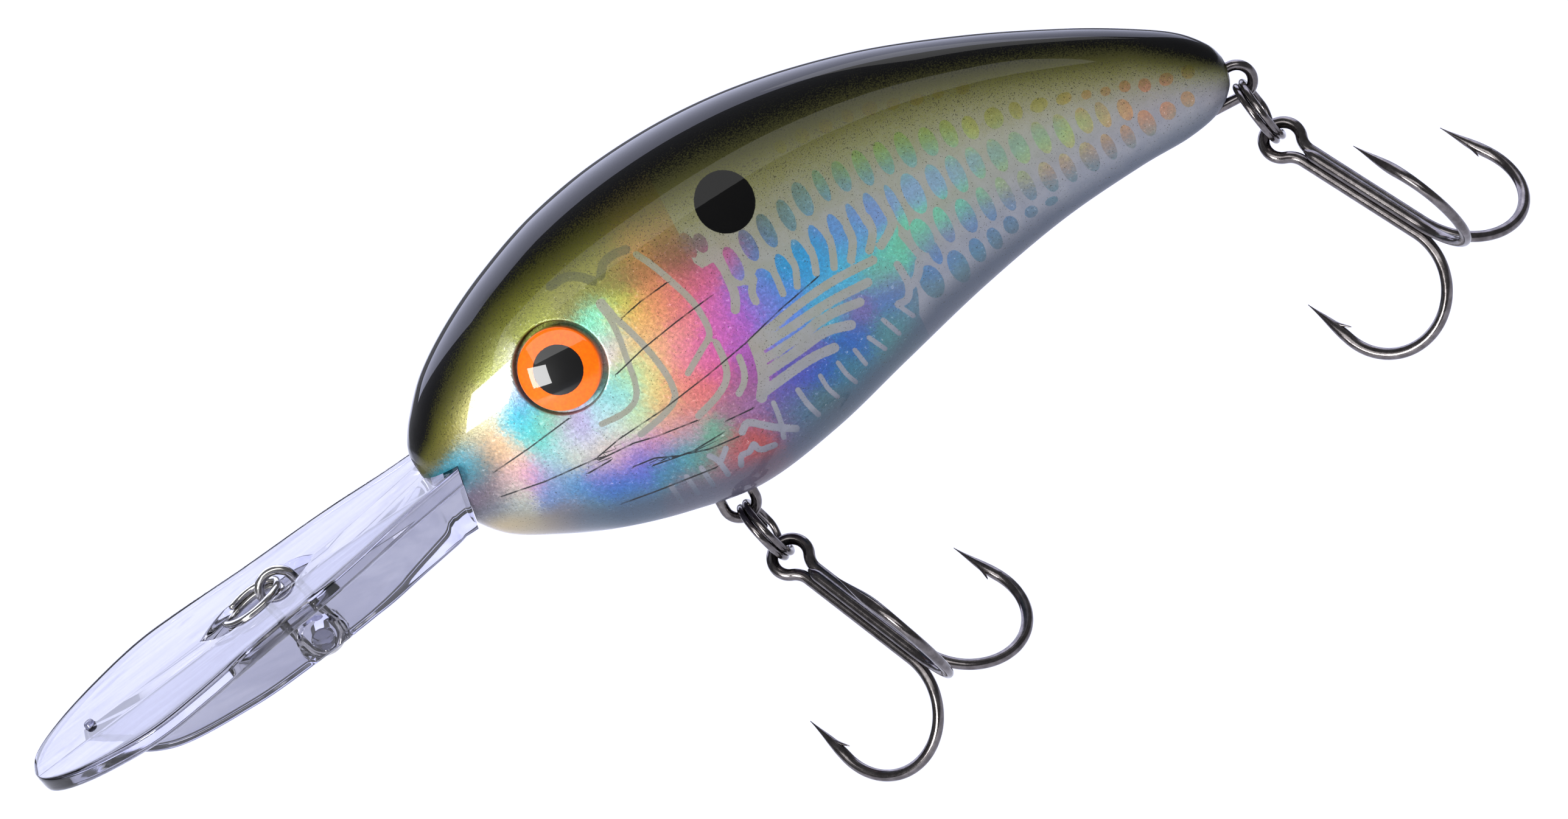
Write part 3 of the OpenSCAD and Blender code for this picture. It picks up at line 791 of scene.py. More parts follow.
class Shader:
    """A material and short calls that add nodes to it."""

    def __init__(self, name):
        self.material = bpy.data.materials.new(name)
        self.material.use_nodes = True
        self.tree = self.material.node_tree
        self.bsdf = self.tree.nodes["Principled BSDF"]

    def link(self, source, target):
        self.tree.links.new(source, target)

    def fill(self, socket, value):
        if isinstance(value, bpy.types.NodeSocket):
            self.link(value, socket)
        elif value is not None:
            socket.default_value = value

    def surface(self, **values):
        """Sets or links inputs of the surface by short names."""
        names = {
            "color": "Base Color", "metallic": "Metallic", "roughness": "Roughness", "ior": "IOR",
            "normal": "Normal", "coat": "Coat Weight", "coat_roughness": "Coat Roughness",
            "coat_normal": "Coat Normal", "transmission": "Transmission Weight", "coat_ior": "Coat IOR",
            "specular": "Specular IOR Level",
        }
        for key, value in values.items():
            self.fill(self.bsdf.inputs[names[key]], value)

    def place(self):
        """Position on the object in millimetres."""
        coordinates = self.tree.nodes.new("ShaderNodeTexCoord")
        scale = self.tree.nodes.new("ShaderNodeVectorMath")
        scale.operation = "SCALE"
        self.link(coordinates.outputs["Object"], scale.inputs[0])
        scale.inputs["Scale"].default_value = 1000
        return scale.outputs[0]

    def noise(self, size, detail=3.0, roughness=0.5, place=None, distortion=0.0):
        """Noise whose features are about size millimetres across."""
        node = self.tree.nodes.new("ShaderNodeTexNoise")
        self.link(place or self.place(), node.inputs["Vector"])
        node.inputs["Scale"].default_value = 1 / size
        node.inputs["Detail"].default_value = detail
        node.inputs["Roughness"].default_value = roughness
        node.inputs["Distortion"].default_value = distortion
        return node.outputs["Fac"]

    def stretched(self, factors):
        """Position on the object with its three axes scaled."""
        node = self.tree.nodes.new("ShaderNodeVectorMath")
        node.operation = "MULTIPLY"
        self.link(self.place(), node.inputs[0])
        node.inputs[1].default_value = factors
        return node.outputs[0]

    def math(self, operation, a, b=0.0):
        node = self.tree.nodes.new("ShaderNodeMath")
        node.operation = operation
        self.fill(node.inputs[0], a)
        self.fill(node.inputs[1], b)
        return node.outputs[0]

    def range(self, value, low, high, to_low=0.0, to_high=1.0):
        """Goes smoothly from to_low to to_high while value goes from low to high."""
        node = self.tree.nodes.new("ShaderNodeMapRange")
        node.interpolation_type = "SMOOTHSTEP"
        self.fill(node.inputs["Value"], value)
        node.inputs["From Min"].default_value = low
        node.inputs["From Max"].default_value = high
        node.inputs["To Min"].default_value = to_low
        node.inputs["To Max"].default_value = to_high
        return node.outputs["Result"]

    def mix(self, factor, a, b, blend="MIX"):
        node = self.tree.nodes.new("ShaderNodeMix")
        node.data_type = "RGBA"
        node.blend_type = blend
        self.fill(node.inputs["Factor"], factor)
        self.fill(node.inputs[6], self.rgba(a))
        self.fill(node.inputs[7], self.rgba(b))
        return node.outputs[2]

    @staticmethod
    def rgba(colour):
        if isinstance(colour, bpy.types.NodeSocket):
            return colour
        return (*colour, 1)

    def attribute(self, name):
        node = self.tree.nodes.new("ShaderNodeAttribute")
        node.attribute_name = name
        return node

    def channels(self, colour):
        node = self.tree.nodes.new("ShaderNodeSeparateColor")
        self.link(colour, node.inputs[0])
        return node.outputs

    def bump(self, height, strength, depth):
        """depth is the height of the relief in millimetres."""
        node = self.tree.nodes.new("ShaderNodeBump")
        self.link(height, node.inputs["Height"])
        node.inputs["Strength"].default_value = strength
        node.inputs["Distance"].default_value = depth * MM
        return node.outputs[0]


def foil_paint():
    """Printed foil under a clear coat: foil, grey print, bare belly, sprayed back, cracks and spot."""
    s = Shader("foil_paint")
    # paint holds the foil's hues as they show from the side view: partly their own colour, partly painted
    # reflection, with a painted highlight on the nose
    paint = s.attribute("paint").outputs["Color"]
    marks = s.attribute("marks")
    print_edge, spot_edge, crack_edge = s.channels(marks.outputs["Color"])
    near_crack = marks.outputs["Alpha"]
    cover = s.attribute("cover")
    spray, below_belly, stroke_edge = s.channels(cover.outputs["Color"])
    along = cover.outputs["Alpha"]
    above_belly = s.math("MULTIPLY", below_belly, -1.0)

    place = s.place()
    grain = s.noise(0.16, 3, 0.6, place)
    leather = s.noise(0.27, 4, 0.62, place, 0.6)
    dots = s.noise(0.13, 2, 0.5, place)
    patches = s.noise(1.3, 3, 0.6, place)

    def wobbled(distance, amount):
        return s.math("ADD", distance, s.math("MULTIPLY", s.math("SUBTRACT", grain, 0.5), amount))

    # the foil sparkles a little lighter and darker
    foil = s.mix(s.range(leather, 0.35, 0.66), s.mix(0.3, paint, (0.02, 0.02, 0.02)), paint)
    foil = s.mix(s.range(leather, 0.62, 0.74, 0, 0.22), foil, (1, 1, 1))

    # the grey print, and a thin veil of it over the windows behind the head
    grey = s.mix(s.range(above_belly, 0.5, 8), (0.20, 0.21, 0.245), (0.24, 0.24, 0.18))
    grey = s.mix(s.range(patches, 0.3, 0.7, 0, 0.3), grey, (0.3, 0.3, 0.31))
    printed = s.range(wobbled(print_edge, 0.16), -0.03, 0.05)
    veil = s.math("MULTIPLY", s.range(along, 33, 48), s.range(above_belly, 2, 9, 0.28, 0.42))
    foil = s.mix(veil, foil, grey)
    colour = s.mix(s.math("MULTIPLY", printed, 0.92), foil, grey)

    # the belly, warmer under the throat
    belly_grey = s.mix(s.range(along, 10, 2), (0.055, 0.07, 0.1), (0.36, 0.28, 0.14))
    belly = s.range(wobbled(below_belly, 0.5), -0.9, 1.2)
    colour = s.mix(s.math("MULTIPLY", belly, 0.86), colour, belly_grey)

    # olive spray that turns black towards the back, with dark specks at its edge
    level = s.math("ADD", spray, s.math("MULTIPLY", s.math("SUBTRACT", dots, 0.5), 0.5))
    olive = s.mix(s.range(spray, 0.45, 0.98), (0.13, 0.13, 0.02), (0.02, 0.02, 0.001))
    colour = s.mix(s.range(level, 0.08, 0.88, 0, 0.96), colour, olive)
    colour = s.mix(s.range(level, 0.86, 1.08), colour, (0.001, 0.001, 0.001))
    specks = s.range(s.math("SUBTRACT", dots, s.range(spray, 0, 0.9, 0, 0.1)), 0.36, 0.28, 0, 0.8)
    specks = s.math("MULTIPLY", specks, s.range(spray, 1.0, 0.8))
    colour = s.mix(specks, colour, (0.035, 0.032, 0.012))

    # dark strokes, cracks and the spot
    stroke = s.range(wobbled(stroke_edge, 0.2), -0.05, 0.08, 0, 0.6)
    colour = s.mix(stroke, colour, (0.05, 0.055, 0.03))
    in_crack = s.range(s.math("ABSOLUTE", wobbled(crack_edge, 0.05)), 0.09, 0.045)
    crack = s.math("MULTIPLY", in_crack, near_crack)
    crack = s.math("MULTIPLY", crack, s.range(patches, 0.3, 0.5, 0.5, 0.95))
    colour = s.mix(crack, colour, (0.02, 0.02, 0.02))
    spot = s.range(wobbled(spot_edge, 0.12), -0.03, 0.04)
    colour = s.mix(spot, colour, (0.001, 0.001, 0.001))

    # bare foil is the most metallic and the smoothest
    sprayed = s.math("MAXIMUM", spot, s.range(spray, 0.4, 1.0))
    dulled = s.math("MAXIMUM", s.math("MULTIPLY", printed, 0.7), belly)
    bare = s.math("SUBTRACT", 1.0, s.math("MAXIMUM", sprayed, dulled))
    relief = s.math("ADD", s.math("MULTIPLY", leather, 0.7), s.math("MULTIPLY", grain, 0.3))
    # the clear coat is fullest on the nose and along the back
    gloss = s.math("MAXIMUM", s.range(along, 13, 9, 0.4, 1), s.range(spray, 0.9, 1.15))
    s.surface(
        color=colour, metallic=s.range(bare, 0, 1, 0.12, 0.5), roughness=s.range(bare, 0, 1, 0.5, 0.33),
        specular=0.05, coat=gloss, coat_roughness=0.02, coat_ior=1.4, normal=s.bump(relief, 0.5, 0.05),
        coat_normal=s.bump(s.noise(0.9, 3, 0.55, place), 0.06, 0.02),
    )
    return s.material


def plated(name, colour, roughness):
    """Bright plating on wire, slightly worn in patches."""
    s = Shader(name)
    wear = s.noise(0.9, 5, 0.6)
    fine = s.noise(0.12, 4, 0.6)
    tone = s.mix(s.range(wear, 0.35, 0.7), colour, tuple(min(c * 1.5 + 0.02, 1) for c in colour))
    s.surface(
        color=tone, metallic=1.0,
        roughness=s.range(fine, 0.3, 0.75, roughness * 0.8, roughness * 1.5),
        normal=s.bump(fine, 0.12, 0.02),
    )
    return s.material


def clear_plastic():
    """The lip's clear moulding, with streaks that run from its root to its tip."""
    s = Shader("clear_plastic")
    haze = s.noise(2.5, 4, 0.6)
    streaks = s.noise(1.2, 3, 0.55, s.stretched((0.07, 1.0, 0.5)))
    tint = s.mix(s.range(streaks, 0.4, 0.62), (0.39, 0.39, 0.45), (0.29, 0.29, 0.36))
    s.surface(
        color=tint, roughness=s.range(haze, 0.3, 0.8, 0.012, 0.05), ior=1.52, transmission=1.0,
        normal=s.bump(s.noise(6, 2), 0.2, 0.12),
    )
    return s.material


def eye_paint():
    """A black pupil in an orange iris under a clear coat."""
    s = Shader("eye_paint")
    where = s.channels(s.attribute("where").outputs["Color"])
    grain = s.noise(0.25, 4, 0.6)
    radius = s.math("ADD", where[0], s.math("MULTIPLY", s.math("SUBTRACT", grain, 0.5), 0.02))
    iris = s.mix(s.range(grain, 0.3, 0.7), (1.0, 0.13, 0.0), (1.0, 0.165, 0.0))
    colour = s.mix(s.range(radius, PUPIL - 0.007, PUPIL + 0.008), (0.004, 0.004, 0.004), iris)
    s.surface(color=colour, roughness=0.4, specular=0.08, coat=1.0, coat_roughness=0.02, coat_ior=1.4)
    return s.material


def plain_metal(name, colour, roughness, relief):
    """Unplated metal of the pieces inside the body."""
    s = Shader(name)
    grain = s.noise(0.5, 6, 0.65)
    s.surface(
        color=s.mix(grain, tuple(c * 0.7 for c in colour), colour), metallic=0.9,
        roughness=s.range(grain, 0.3, 0.7, roughness * 0.8, roughness * 1.3),
        normal=s.bump(grain, 0.4, relief),
    )
    return s.material


def floor_paint():
    """A plain pale floor."""
    s = Shader("floor_paint")
    grain = s.noise(40, 3)
    s.surface(color=s.mix(grain, (0.90, 0.90, 0.905), (0.93, 0.93, 0.935)), roughness=0.8)
    return s.material


# ---------------------------------------------------------------- the printed pattern

# Places on the flank are (distance behind the nose, height) on the side view, in millimetres.

# Foil colours: place, then red, green and blue in hundredths. The hues are the foil's rainbow as it shows
# from the side view, so they are partly its own colour and partly painted reflection.
FOIL_AND_HIGHLIGHT_SPOTS = np.array([
    # the pale spot at (7, 2) is a painted highlight on the nose
    [2, 2, 50, 47, 28], [5, 3, 62, 60, 42], [8, 5, 56, 58, 34], [7, 2, 72, 72, 62], [4.5, 0, 62, 60, 50],
    [3, -1.6, 20, 62, 72], [3, -2.6, 16, 48, 52], [2.9, -4, 48, 30, 42], [4.1, -1.8, 38, 38, 32],
    [4.2, -2.8, 38, 39, 36], [3.8, -4, 36, 37, 36], [3.4, -5.2, 38, 40, 42], [2.6, -6, 40, 42, 46],
    [5.6, -1.5, 92, 72, 52], [6.6, -2.6, 88, 78, 62], [4.8, -4.2, 88, 72, 74], [6.5, -4, 88, 66, 66],
    [7.4, -4.8, 80, 50, 76], [5.5, -5.4, 76, 78, 66], [4.2, -6.2, 56, 62, 64], [8.3, -1, 20, 74, 78],
    [8.8, 0.5, 24, 68, 80], [9.6, 1.6, 52, 58, 72], [9.6, 3.2, 62, 62, 58], [9.4, -2.5, 36, 78, 72],
    [10.3, -1, 40, 78, 66], [9, -4.2, 52, 78, 78], [11.2, -1.6, 66, 68, 62], [11.2, -3.6, 72, 80, 80],
    [12.6, -3, 70, 62, 80], [13, -4.3, 70, 72, 84], [11.5, -5.2, 78, 80, 68], [13.5, -5.6, 84, 80, 66],
    [9, -5.9, 64, 66, 70], [8.4, -6.5, 24, 50, 74], [10, -7.4, 14, 56, 76], [12.5, -7.2, 62, 50, 72],
    [12, -8.3, 14, 44, 74], [14, -9, 22, 42, 74], [9, -8.6, 52, 48, 50], [11, -9.6, 36, 50, 54],
    [16, -8.4, 38, 42, 76], [18, -8.9, 30, 50, 70], [20, -9.3, 26, 60, 64], [23, -9, 36, 66, 54],
    [18, -10, 26, 50, 54], [21, -10.3, 34, 56, 48], [14, -10.4, 34, 48, 56], [18, -7.3, 78, 54, 66],
    [15, -6.9, 76, 58, 70], [21, -7.8, 70, 56, 62], [15.2, -3.4, 66, 82, 84], [17, -2.4, 54, 80, 80],
    [16, -4.6, 78, 80, 70], [18, -4.4, 72, 82, 62], [18.6, 2, 84, 78, 80], [18.4, 4.4, 46, 80, 68],
    [19, 3.4, 58, 84, 70], [18.6, -1.6, 60, 82, 70], [19.6, -0.8, 70, 82, 58], [20.3, -2, 86, 78, 48],
    [19.9, 1, 84, 76, 52], [20.6, 3.6, 88, 74, 42], [21, 4.8, 66, 74, 34], [22, 3.2, 92, 70, 42],
    [22, 1.6, 90, 70, 48], [24, 2.6, 92, 60, 46], [24, 4.2, 88, 60, 42], [22, -0.6, 90, 66, 50],
    [24, 0, 88, 56, 54], [24, -2, 86, 50, 58], [22.6, -3.6, 86, 52, 48], [20.4, -4.2, 84, 72, 46],
    [24, -5, 84, 46, 44], [20, -6.2, 82, 60, 54], [22, -5.8, 80, 50, 46], [25.4, 1.4, 88, 50, 54],
    [26, 3.6, 88, 50, 50], [28, 3.2, 84, 44, 56], [28, 1, 80, 42, 66], [26, -1.8, 82, 40, 62],
    [25.6, -4, 80, 40, 58], [28, -1.6, 76, 40, 68], [28.6, -3.2, 66, 38, 68], [30, 0.6, 64, 40, 74],
    [30, -1.8, 62, 38, 72], [29.6, 4, 80, 42, 60], [31.3, 4, 78, 42, 58], [31.4, 2.6, 40, 54, 74],
    [28.8, -5.4, 58, 34, 58], [27, -6.6, 60, 38, 52], [25, -7.6, 62, 44, 52], [27, -8.6, 56, 42, 58],
    [30, -8.6, 40, 36, 62], [24, -10.8, 66, 36, 38], [26.2, -11, 68, 34, 32], [22, -11.4, 58, 42, 46],
    [19, -11.8, 52, 44, 48], [28.6, -10.6, 42, 40, 52], [30.5, -10.4, 32, 44, 52],
    [24, 6.4, 70, 48, 34], [22, 6.6, 54, 46, 32], [27, 6.6, 60, 42, 36], [27.5, 5, 66, 44, 38],
    [29.6, 6.2, 50, 46, 50], [20, 7, 46, 46, 28], [17, 6.6, 46, 46, 30], [14, 7.6, 48, 50, 24],
    [32.5, 0.6, 38, 50, 76], [32, -1, 46, 46, 74], [34, -1.4, 34, 52, 78], [35, 1, 20, 58, 76],
    [38, 0.5, 14, 58, 78], [42, 0, 22, 58, 80], [40, -1.8, 18, 66, 78], [43, -2, 22, 76, 68],
    [44.6, -2.6, 30, 78, 60], [42.4, -3.2, 34, 72, 58], [42.6, -4, 46, 40, 58], [39, -5.1, 44, 38, 60],
    [42, -5.4, 24, 42, 70], [38, -7.2, 18, 38, 66], [34, -8.2, 20, 38, 66], [32, -7.6, 30, 34, 66],
    [33, -6.2, 44, 34, 58], [33, -4.4, 36, 52, 78], [32, -3.2, 42, 50, 80], [37, -3.9, 28, 62, 68],
    [37, -2.7, 28, 62, 78], [36, -9.6, 26, 46, 52], [40, -8.2, 28, 50, 50], [33, -10.6, 32, 44, 46],
    [44, -7, 34, 46, 52], [42, -7.2, 28, 50, 52], [44, 2, 34, 54, 80], [40.5, 2.6, 30, 54, 78],
    [33.3, 4.8, 44, 48, 56], [33.6, 3.4, 40, 52, 70], [36, 4.6, 44, 56, 58], [39, 5.6, 46, 62, 64],
    [42, 6.6, 50, 72, 58], [42, 5, 42, 62, 70], [45, 6.6, 60, 84, 44], [45, 4.8, 38, 64, 72],
    [48, 6.6, 64, 86, 40], [48.4, 4.6, 38, 70, 70], [51, 5.8, 66, 84, 36], [51.2, 4.2, 40, 70, 66],
    [53, 5.4, 74, 82, 32], [53.2, 4, 46, 72, 50], [55, 4.6, 76, 78, 32], [57.2, 4.5, 76, 74, 30],
    [57.4, 3.4, 50, 66, 42], [59.2, 4, 72, 68, 30], [61.3, 3.4, 72, 70, 30], [63.4, 2.9, 74, 66, 30],
    [65.4, 2.3, 78, 54, 28], [67, 1.8, 76, 48, 28], [68.6, 1.4, 74, 46, 32], [70.2, 0.7, 76, 44, 38],
    [72.1, 0.3, 76, 44, 38], [74.2, 0, 58, 46, 30], [48, 1.6, 42, 62, 80], [50.2, 1.6, 42, 62, 76],
    [53, 1.6, 44, 62, 68], [56, 1.4, 44, 62, 58], [58, 1.2, 44, 60, 54], [61, 1.2, 46, 58, 50],
    [58, -0.3, 50, 70, 44], [60.2, -0.4, 50, 72, 40], [62.2, -0.7, 58, 74, 34], [64.3, -0.3, 56, 68, 36],
    [65.8, -0.6, 72, 62, 30], [67.7, -0.9, 72, 58, 32], [66, 1, 48, 56, 46], [47, -1.2, 26, 80, 62],
    [46.8, -2.6, 42, 64, 58], [47.2, -3.4, 40, 40, 60], [47.4, -4.4, 22, 48, 74], [49.1, -1, 32, 80, 58],
    [49.2, -2.8, 46, 44, 60], [51.1, -1.4, 28, 76, 62], [51.2, -2.8, 46, 42, 58], [51.4, -3.4, 22, 48, 72],
    [53.2, -1, 40, 76, 50], [53.2, -2, 50, 46, 52], [53.2, -3.1, 20, 48, 68], [55.1, -1, 54, 70, 38],
    [55.1, -1.9, 58, 50, 48], [55.2, -3.1, 20, 46, 66], [57.2, -1.2, 54, 66, 36], [57, -2, 64, 48, 48],
    [57.1, -3, 20, 50, 58], [59.2, -1.6, 74, 50, 38], [59.2, -3, 26, 48, 52], [61, -1.7, 76, 50, 40],
    [61, -3.1, 30, 48, 52], [63.4, -1.6, 70, 50, 38], [63, -3, 32, 46, 50], [65, -1.8, 70, 48, 34],
    [65, -3, 32, 48, 52], [67, -1.8, 72, 48, 34], [67, -3, 34, 50, 52], [69, -1.6, 78, 48, 28],
    [69, -3, 40, 52, 48], [71, -1.8, 76, 50, 32], [73, -1.7, 72, 52, 30], [72, -3, 42, 54, 46],
    [46, -5, 22, 46, 66], [46, -6.4, 32, 46, 44], [48.8, -5, 24, 48, 62], [48.8, -6.2, 34, 48, 44],
    [50.8, -4.6, 20, 48, 58], [52.4, -5.2, 32, 44, 46], [54.4, -4.8, 30, 42, 46], [57, -4.5, 36, 44, 48],
    [40, 10.5, 62, 60, 30], [44, 10.4, 66, 52, 24], [48, 10, 62, 36, 16], [52, 8.7, 58, 36, 20],
    [55, 8, 50, 34, 22], [36, 8, 40, 44, 28],
])
# How far a foil colour blends into its neighbours
FOIL_REACH = 1.0

# Grey print: lines as (half width, places along the line)
PRINT_LINES = [
    (0.28, [(19.5, 5), (19.6, 3), (19.3, 0.5), (18.9, -2), (18.2, -3.2), (16.8, -3.7), (14.7, -3.65)]),
    (0.3, [
        (19.5, 5.3), (20.4, 3), (21.1, 0.8), (21.6, -1.6), (21.7, -3.4), (21.3, -4.7), (19.6, -5.5),
        (17.3, -6),
    ]),
    (0.48, [(19.5, 5.6), (19.8, 4.2)]),
    (0.3, [
        (24.2, 8), (25, 6.5), (25.9, 4.3), (26.6, 2.2), (26.8, 0.4), (26.6, -1.1), (25.3, -2), (23.4, -3.2),
    ]),
    (0.32, [(26.8, -2), (26.7, -3.6), (26.2, -5.1), (24.8, -6.1), (22.5, -6.9)]),
    (0.3, [(28, -4), (27.8, -5.3), (27.3, -6.2), (26.5, -6.8)]),
    (0.5, [(29.7, -3.4), (29.5, -5), (29, -6.6), (28.1, -8)]),
    (0.4, [(29.8, -3.3), (32, -2.9), (35, -2.3), (38.5, -1.9), (42.2, -1.9)]),
    (0.42, [(29.8, -4.1), (33, -3.8), (37, -3.4), (40.9, -3.4)]),
    (0.42, [(29.6, -5.2), (33, -4.9), (36.5, -4.4), (39.5, -4.6)]),
    (0.45, [(29.3, -6.3), (32.6, -5.9), (35.6, -5.5), (37.9, -6)]),
    (0.45, [(28.4, -7.7), (31, -7.3), (33.6, -7), (35.7, -7.1)]),
    (0.42, [(30.4, 4.4), (30.3, 2), (30.1, 0.8), (29.6, -0.2)]),
    (0.36, [(32.2, 1.4), (31.6, 0.5), (31.5, -0.4)]),
    (0.32, [(34.1, 1.6), (34, 0), (33.9, -0.9)]),
    (0.32, [(35.9, 1.6), (35.9, 0.6), (35.3, -0.9)]),
    (0.34, [(37.8, 1.6), (37.7, 0.6), (37.3, -0.6)]),
    (0.34, [(39.7, 1.6), (39.5, 0.6), (38.9, -0.9)]),
    (0.38, [(41.5, 1.6), (41.4, 0.4), (40.5, -1)]),
    (0.38, [(43.4, 1.6), (43.3, 0.3), (42.3, -1)]),
    (0.4, [(45.3, 1.6), (45.1, 0.1), (43.4, -1.1)]),
    (0.34, [(43.9, -3.2), (44, -5), (43.4, -6.2), (42.4, -6.3)]),
    (0.4, [(44, -5.4), (45, -4.9), (45.7, -3.9)]),
    (0.34, [(25.2, -9.9), (26, -9.4), (27, -10.1), (28, -10.9), (29.5, -11.8)]),
    (0.24, [(28.8, -8.9), (28.6, -10.6), (28.2, -12)]),
    (0.26, [(21.7, -10.4), (22.2, -11.2), (22.4, -12.6)]),
    (0.26, [(23.3, -10.5), (22.5, -11.2)]),
    (0.28, [(23.8, -12.4), (24.2, -11.7), (25, -11.7), (25.6, -11.3), (25.9, -12), (27.2, -12.2)]),
    (0.24, [(17.5, -11.2), (17.7, -12.8)]),
    (0.24, [(19.1, -11.1), (19.3, -12.8)]),
    (0.24, [(20.6, -11), (20.8, -12.8)]),
    (0.26, [(31.2, -8.9), (31.4, -10.4), (31.8, -11.6)]),
    (0.22, [(33.5, -8.7), (33.6, -10), (34, -11)]),
    (0.22, [(35.4, -8.4), (35.6, -9.6), (36, -10.6)]),
    (0.22, [(37.2, -8.1), (37.5, -9.6)]),
    (0.22, [(38.8, -7.7), (39.6, -9.2)]),
    (0.22, [(40.6, -6.9), (41.3, -8.6)]),
    (0.22, [(42.3, -6.3), (43.1, -7.8)]),
]

# Behind the head the print covers everything except the windows below
PRINT_AREA = [
    (28.3, 14), (28.3, 5), (28.7, 4.3), (29.8, 4.3), (30.2, 1.6), (31.8, 1.2), (45.6, 0.9), (45.4, -0.5),
    (45.1, -1), (45.7, -3.6), (45, -4.8), (44.6, -5.4), (44.3, -6.4), (43.6, -8), (43.6, -30),
    (90, -30), (90, 14),
]

# Windows in the print that show the foil: place, half width, half height
WINDOWS = [
    (28.6, 6.6, 0.5, 1.2), (29.6, 6.3, 0.55, 0.9), (31.3, 3.4, 0.65, 1.6), (33.2, 4.2, 0.65, 1.5),
    (35.2, 4.6, 0.65, 1.6), (37.3, 5, 0.6, 1.5), (39.2, 5.6, 0.7, 1.6), (41.2, 5.9, 0.5, 1.5),
    (43.1, 5.8, 0.65, 1.45), (45.1, 5.6, 0.65, 1.7), (47.1, 5.5, 0.65, 1.55), (49.1, 5.3, 0.7, 1.7),
    (51.2, 5, 0.7, 1.35), (53.1, 4.8, 0.65, 1.3), (55, 4.4, 0.65, 1.1), (57.2, 4.2, 0.8, 0.95),
    (59.2, 3.9, 0.55, 0.8), (61.2, 3.4, 0.8, 0.6), (63.4, 2.9, 0.7, 0.5), (65.3, 2.3, 0.45, 0.4),
    (66.9, 1.8, 0.45, 0.4), (68.6, 1.4, 0.5, 0.5), (70.2, 0.7, 0.55, 0.6), (72.1, 0.3, 0.65, 0.55),
    (74.1, 0, 0.6, 0.6),
    (33, 0.4, 0.85, 1.6), (35, 0.6, 0.62, 1.8), (36.8, 0.8, 0.6, 2.1), (38.7, 1, 0.65, 2.3),
    (40.6, 1, 0.65, 2.4), (42.4, 1.2, 0.5, 2.3), (44.2, 1, 0.65, 2.6), (46.1, 1.2, 0.45, 2.2),
    (48, 1.6, 0.85, 1.9), (50.2, 1.6, 0.7, 1.65), (52.1, 1.4, 0.7, 1.75), (54, 1.5, 0.65, 1.5),
    (56, 1.2, 0.7, 1.55), (58, 0.9, 0.75, 1.5), (60.1, 0.8, 0.65, 1.5), (62.1, 0.4, 0.7, 1.6),
    (64.1, 0.4, 0.65, 1.2), (65.8, 0.1, 0.55, 1.2), (67.7, -0.4, 0.6, 1),
    (47, -2, 0.85, 1.6), (47.3, -3.7, 0.5, 1.2), (49.1, -2, 0.65, 1.7), (51.2, -2.2, 0.75, 1.6),
    (53.2, -2.1, 0.6, 1.6), (55.1, -2.1, 0.6, 1.6), (57.1, -2.3, 0.65, 1.4), (59.1, -2.5, 0.7, 1.4),
    (61, -2.6, 0.6, 1.35), (63.1, -2.6, 0.75, 1.35), (65, -2.6, 0.55, 1.2), (66.9, -2.6, 0.55, 1.1),
    (68.9, -2.3, 0.7, 1.2), (71, -2.2, 0.7, 0.8), (73, -2.1, 0.6, 0.7),
    (45.9, -5.9, 1, 1.5), (48.6, -5.8, 0.85, 1.5), (50.7, -5.3, 0.65, 1.1), (52.5, -5.1, 0.6, 1),
    (54.3, -4.7, 0.65, 0.8), (56.4, -4.5, 0.6, 0.5), (58.4, -4.5, 0.6, 0.35),
    (39.6, 10.5, 0.5, 0.6), (41.7, 10.5, 0.6, 0.7), (43.9, 10.3, 0.6, 0.6), (46, 10.2, 0.5, 0.6),
    (48, 9.9, 0.7, 0.6), (50, 9.3, 0.6, 0.5), (52, 8.7, 0.6, 0.5), (53.9, 8.3, 0.5, 0.4),
    (56, 7.7, 0.6, 0.5),
]

# Two darker strokes above the gill
DARK_LINES = [
    (0.42, [(16.3, 9), (17.8, 9.1), (19, 8.5), (19.8, 7.7)]),
    (0.42, [(20.6, 7.8), (21.3, 8.6), (22.3, 8.9), (23.6, 8.8)]),
]

# The black spot: place, half width, half height
SPOT = (33.1, 8.5, 2.65, 2.8)

# Fine cracks in the foil's film
CREASES = [
    [(4.6, -3), (8, -2.6), (12.4, -1.9)],
    [(17.9, -0.4), (21, 0.5), (24.5, 1.2), (28.2, 1.8)],
    [(4, -5.2), (8, -5.8), (13, -6.1)],
    [(13.2, -6), (15.4, -5.5), (20, -5), (25, -4.1), (29, -3.2), (33, -2), (37.2, -1)],
    [(13, -6.3), (16.4, -6.4), (18.4, -6.8), (22.2, -7.2)],
    [(15.4, -8.2), (17.4, -8.4), (19.4, -9.2), (20.6, -9.4), (23.6, -9.2)],
    [(17, -8.9), (19.8, -9.3), (22, -9.9), (24.8, -10.1)],
    [(24.4, -8.4), (26.9, -8.5)],
    [(20.6, 3.7), (22.6, 4.2), (25.4, 4.6)],
    [(11.7, -6.9), (13.9, -6.8)],
    [(13, -10.6), (16, -11), (21.8, -11.6)],
]

# The sprayed back: heights where it is solid black and where it has faded away
BLACK_FROM = np.array([
    [-1.5, 1], [0.5, 2.4], [2, 4.2], [5, 6.8], [8, 8.8], [11, 10.4], [15, 11.7], [20, 12.8], [27, 13.6],
    [33, 13.7], [40, 13.2], [47, 12.4], [53, 11.0], [60, 8.8], [65, 7.0], [70, 4.8], [75, 1.0], [78, -1.5],
])
FADED_BY = np.array([
    [-1.5, -1.5], [2, -0.8], [5, 0], [8, 3], [10, 4.6], [13, 5.6], [18, 4.2], [24, 3.6], [30, 2.4], [36, 1.6],
    [45, 1.6], [55, 1.2], [62, -0.5], [68, -2.2], [75, -3.6], [78, -4],
])
# Height where the foil gives way to the bare grey belly
BELLY_BELOW = np.array([
    [0, -6.2], [4, -6.8], [8, -8.2], [12, -10], [16, -11], [22, -12.2], [28, -12.2], [34, -10.9], [40, -9.2],
    [46, -7], [52, -5.8], [58, -4.8], [66, -4.2], [74, -3.8], [78, -3.4],
])


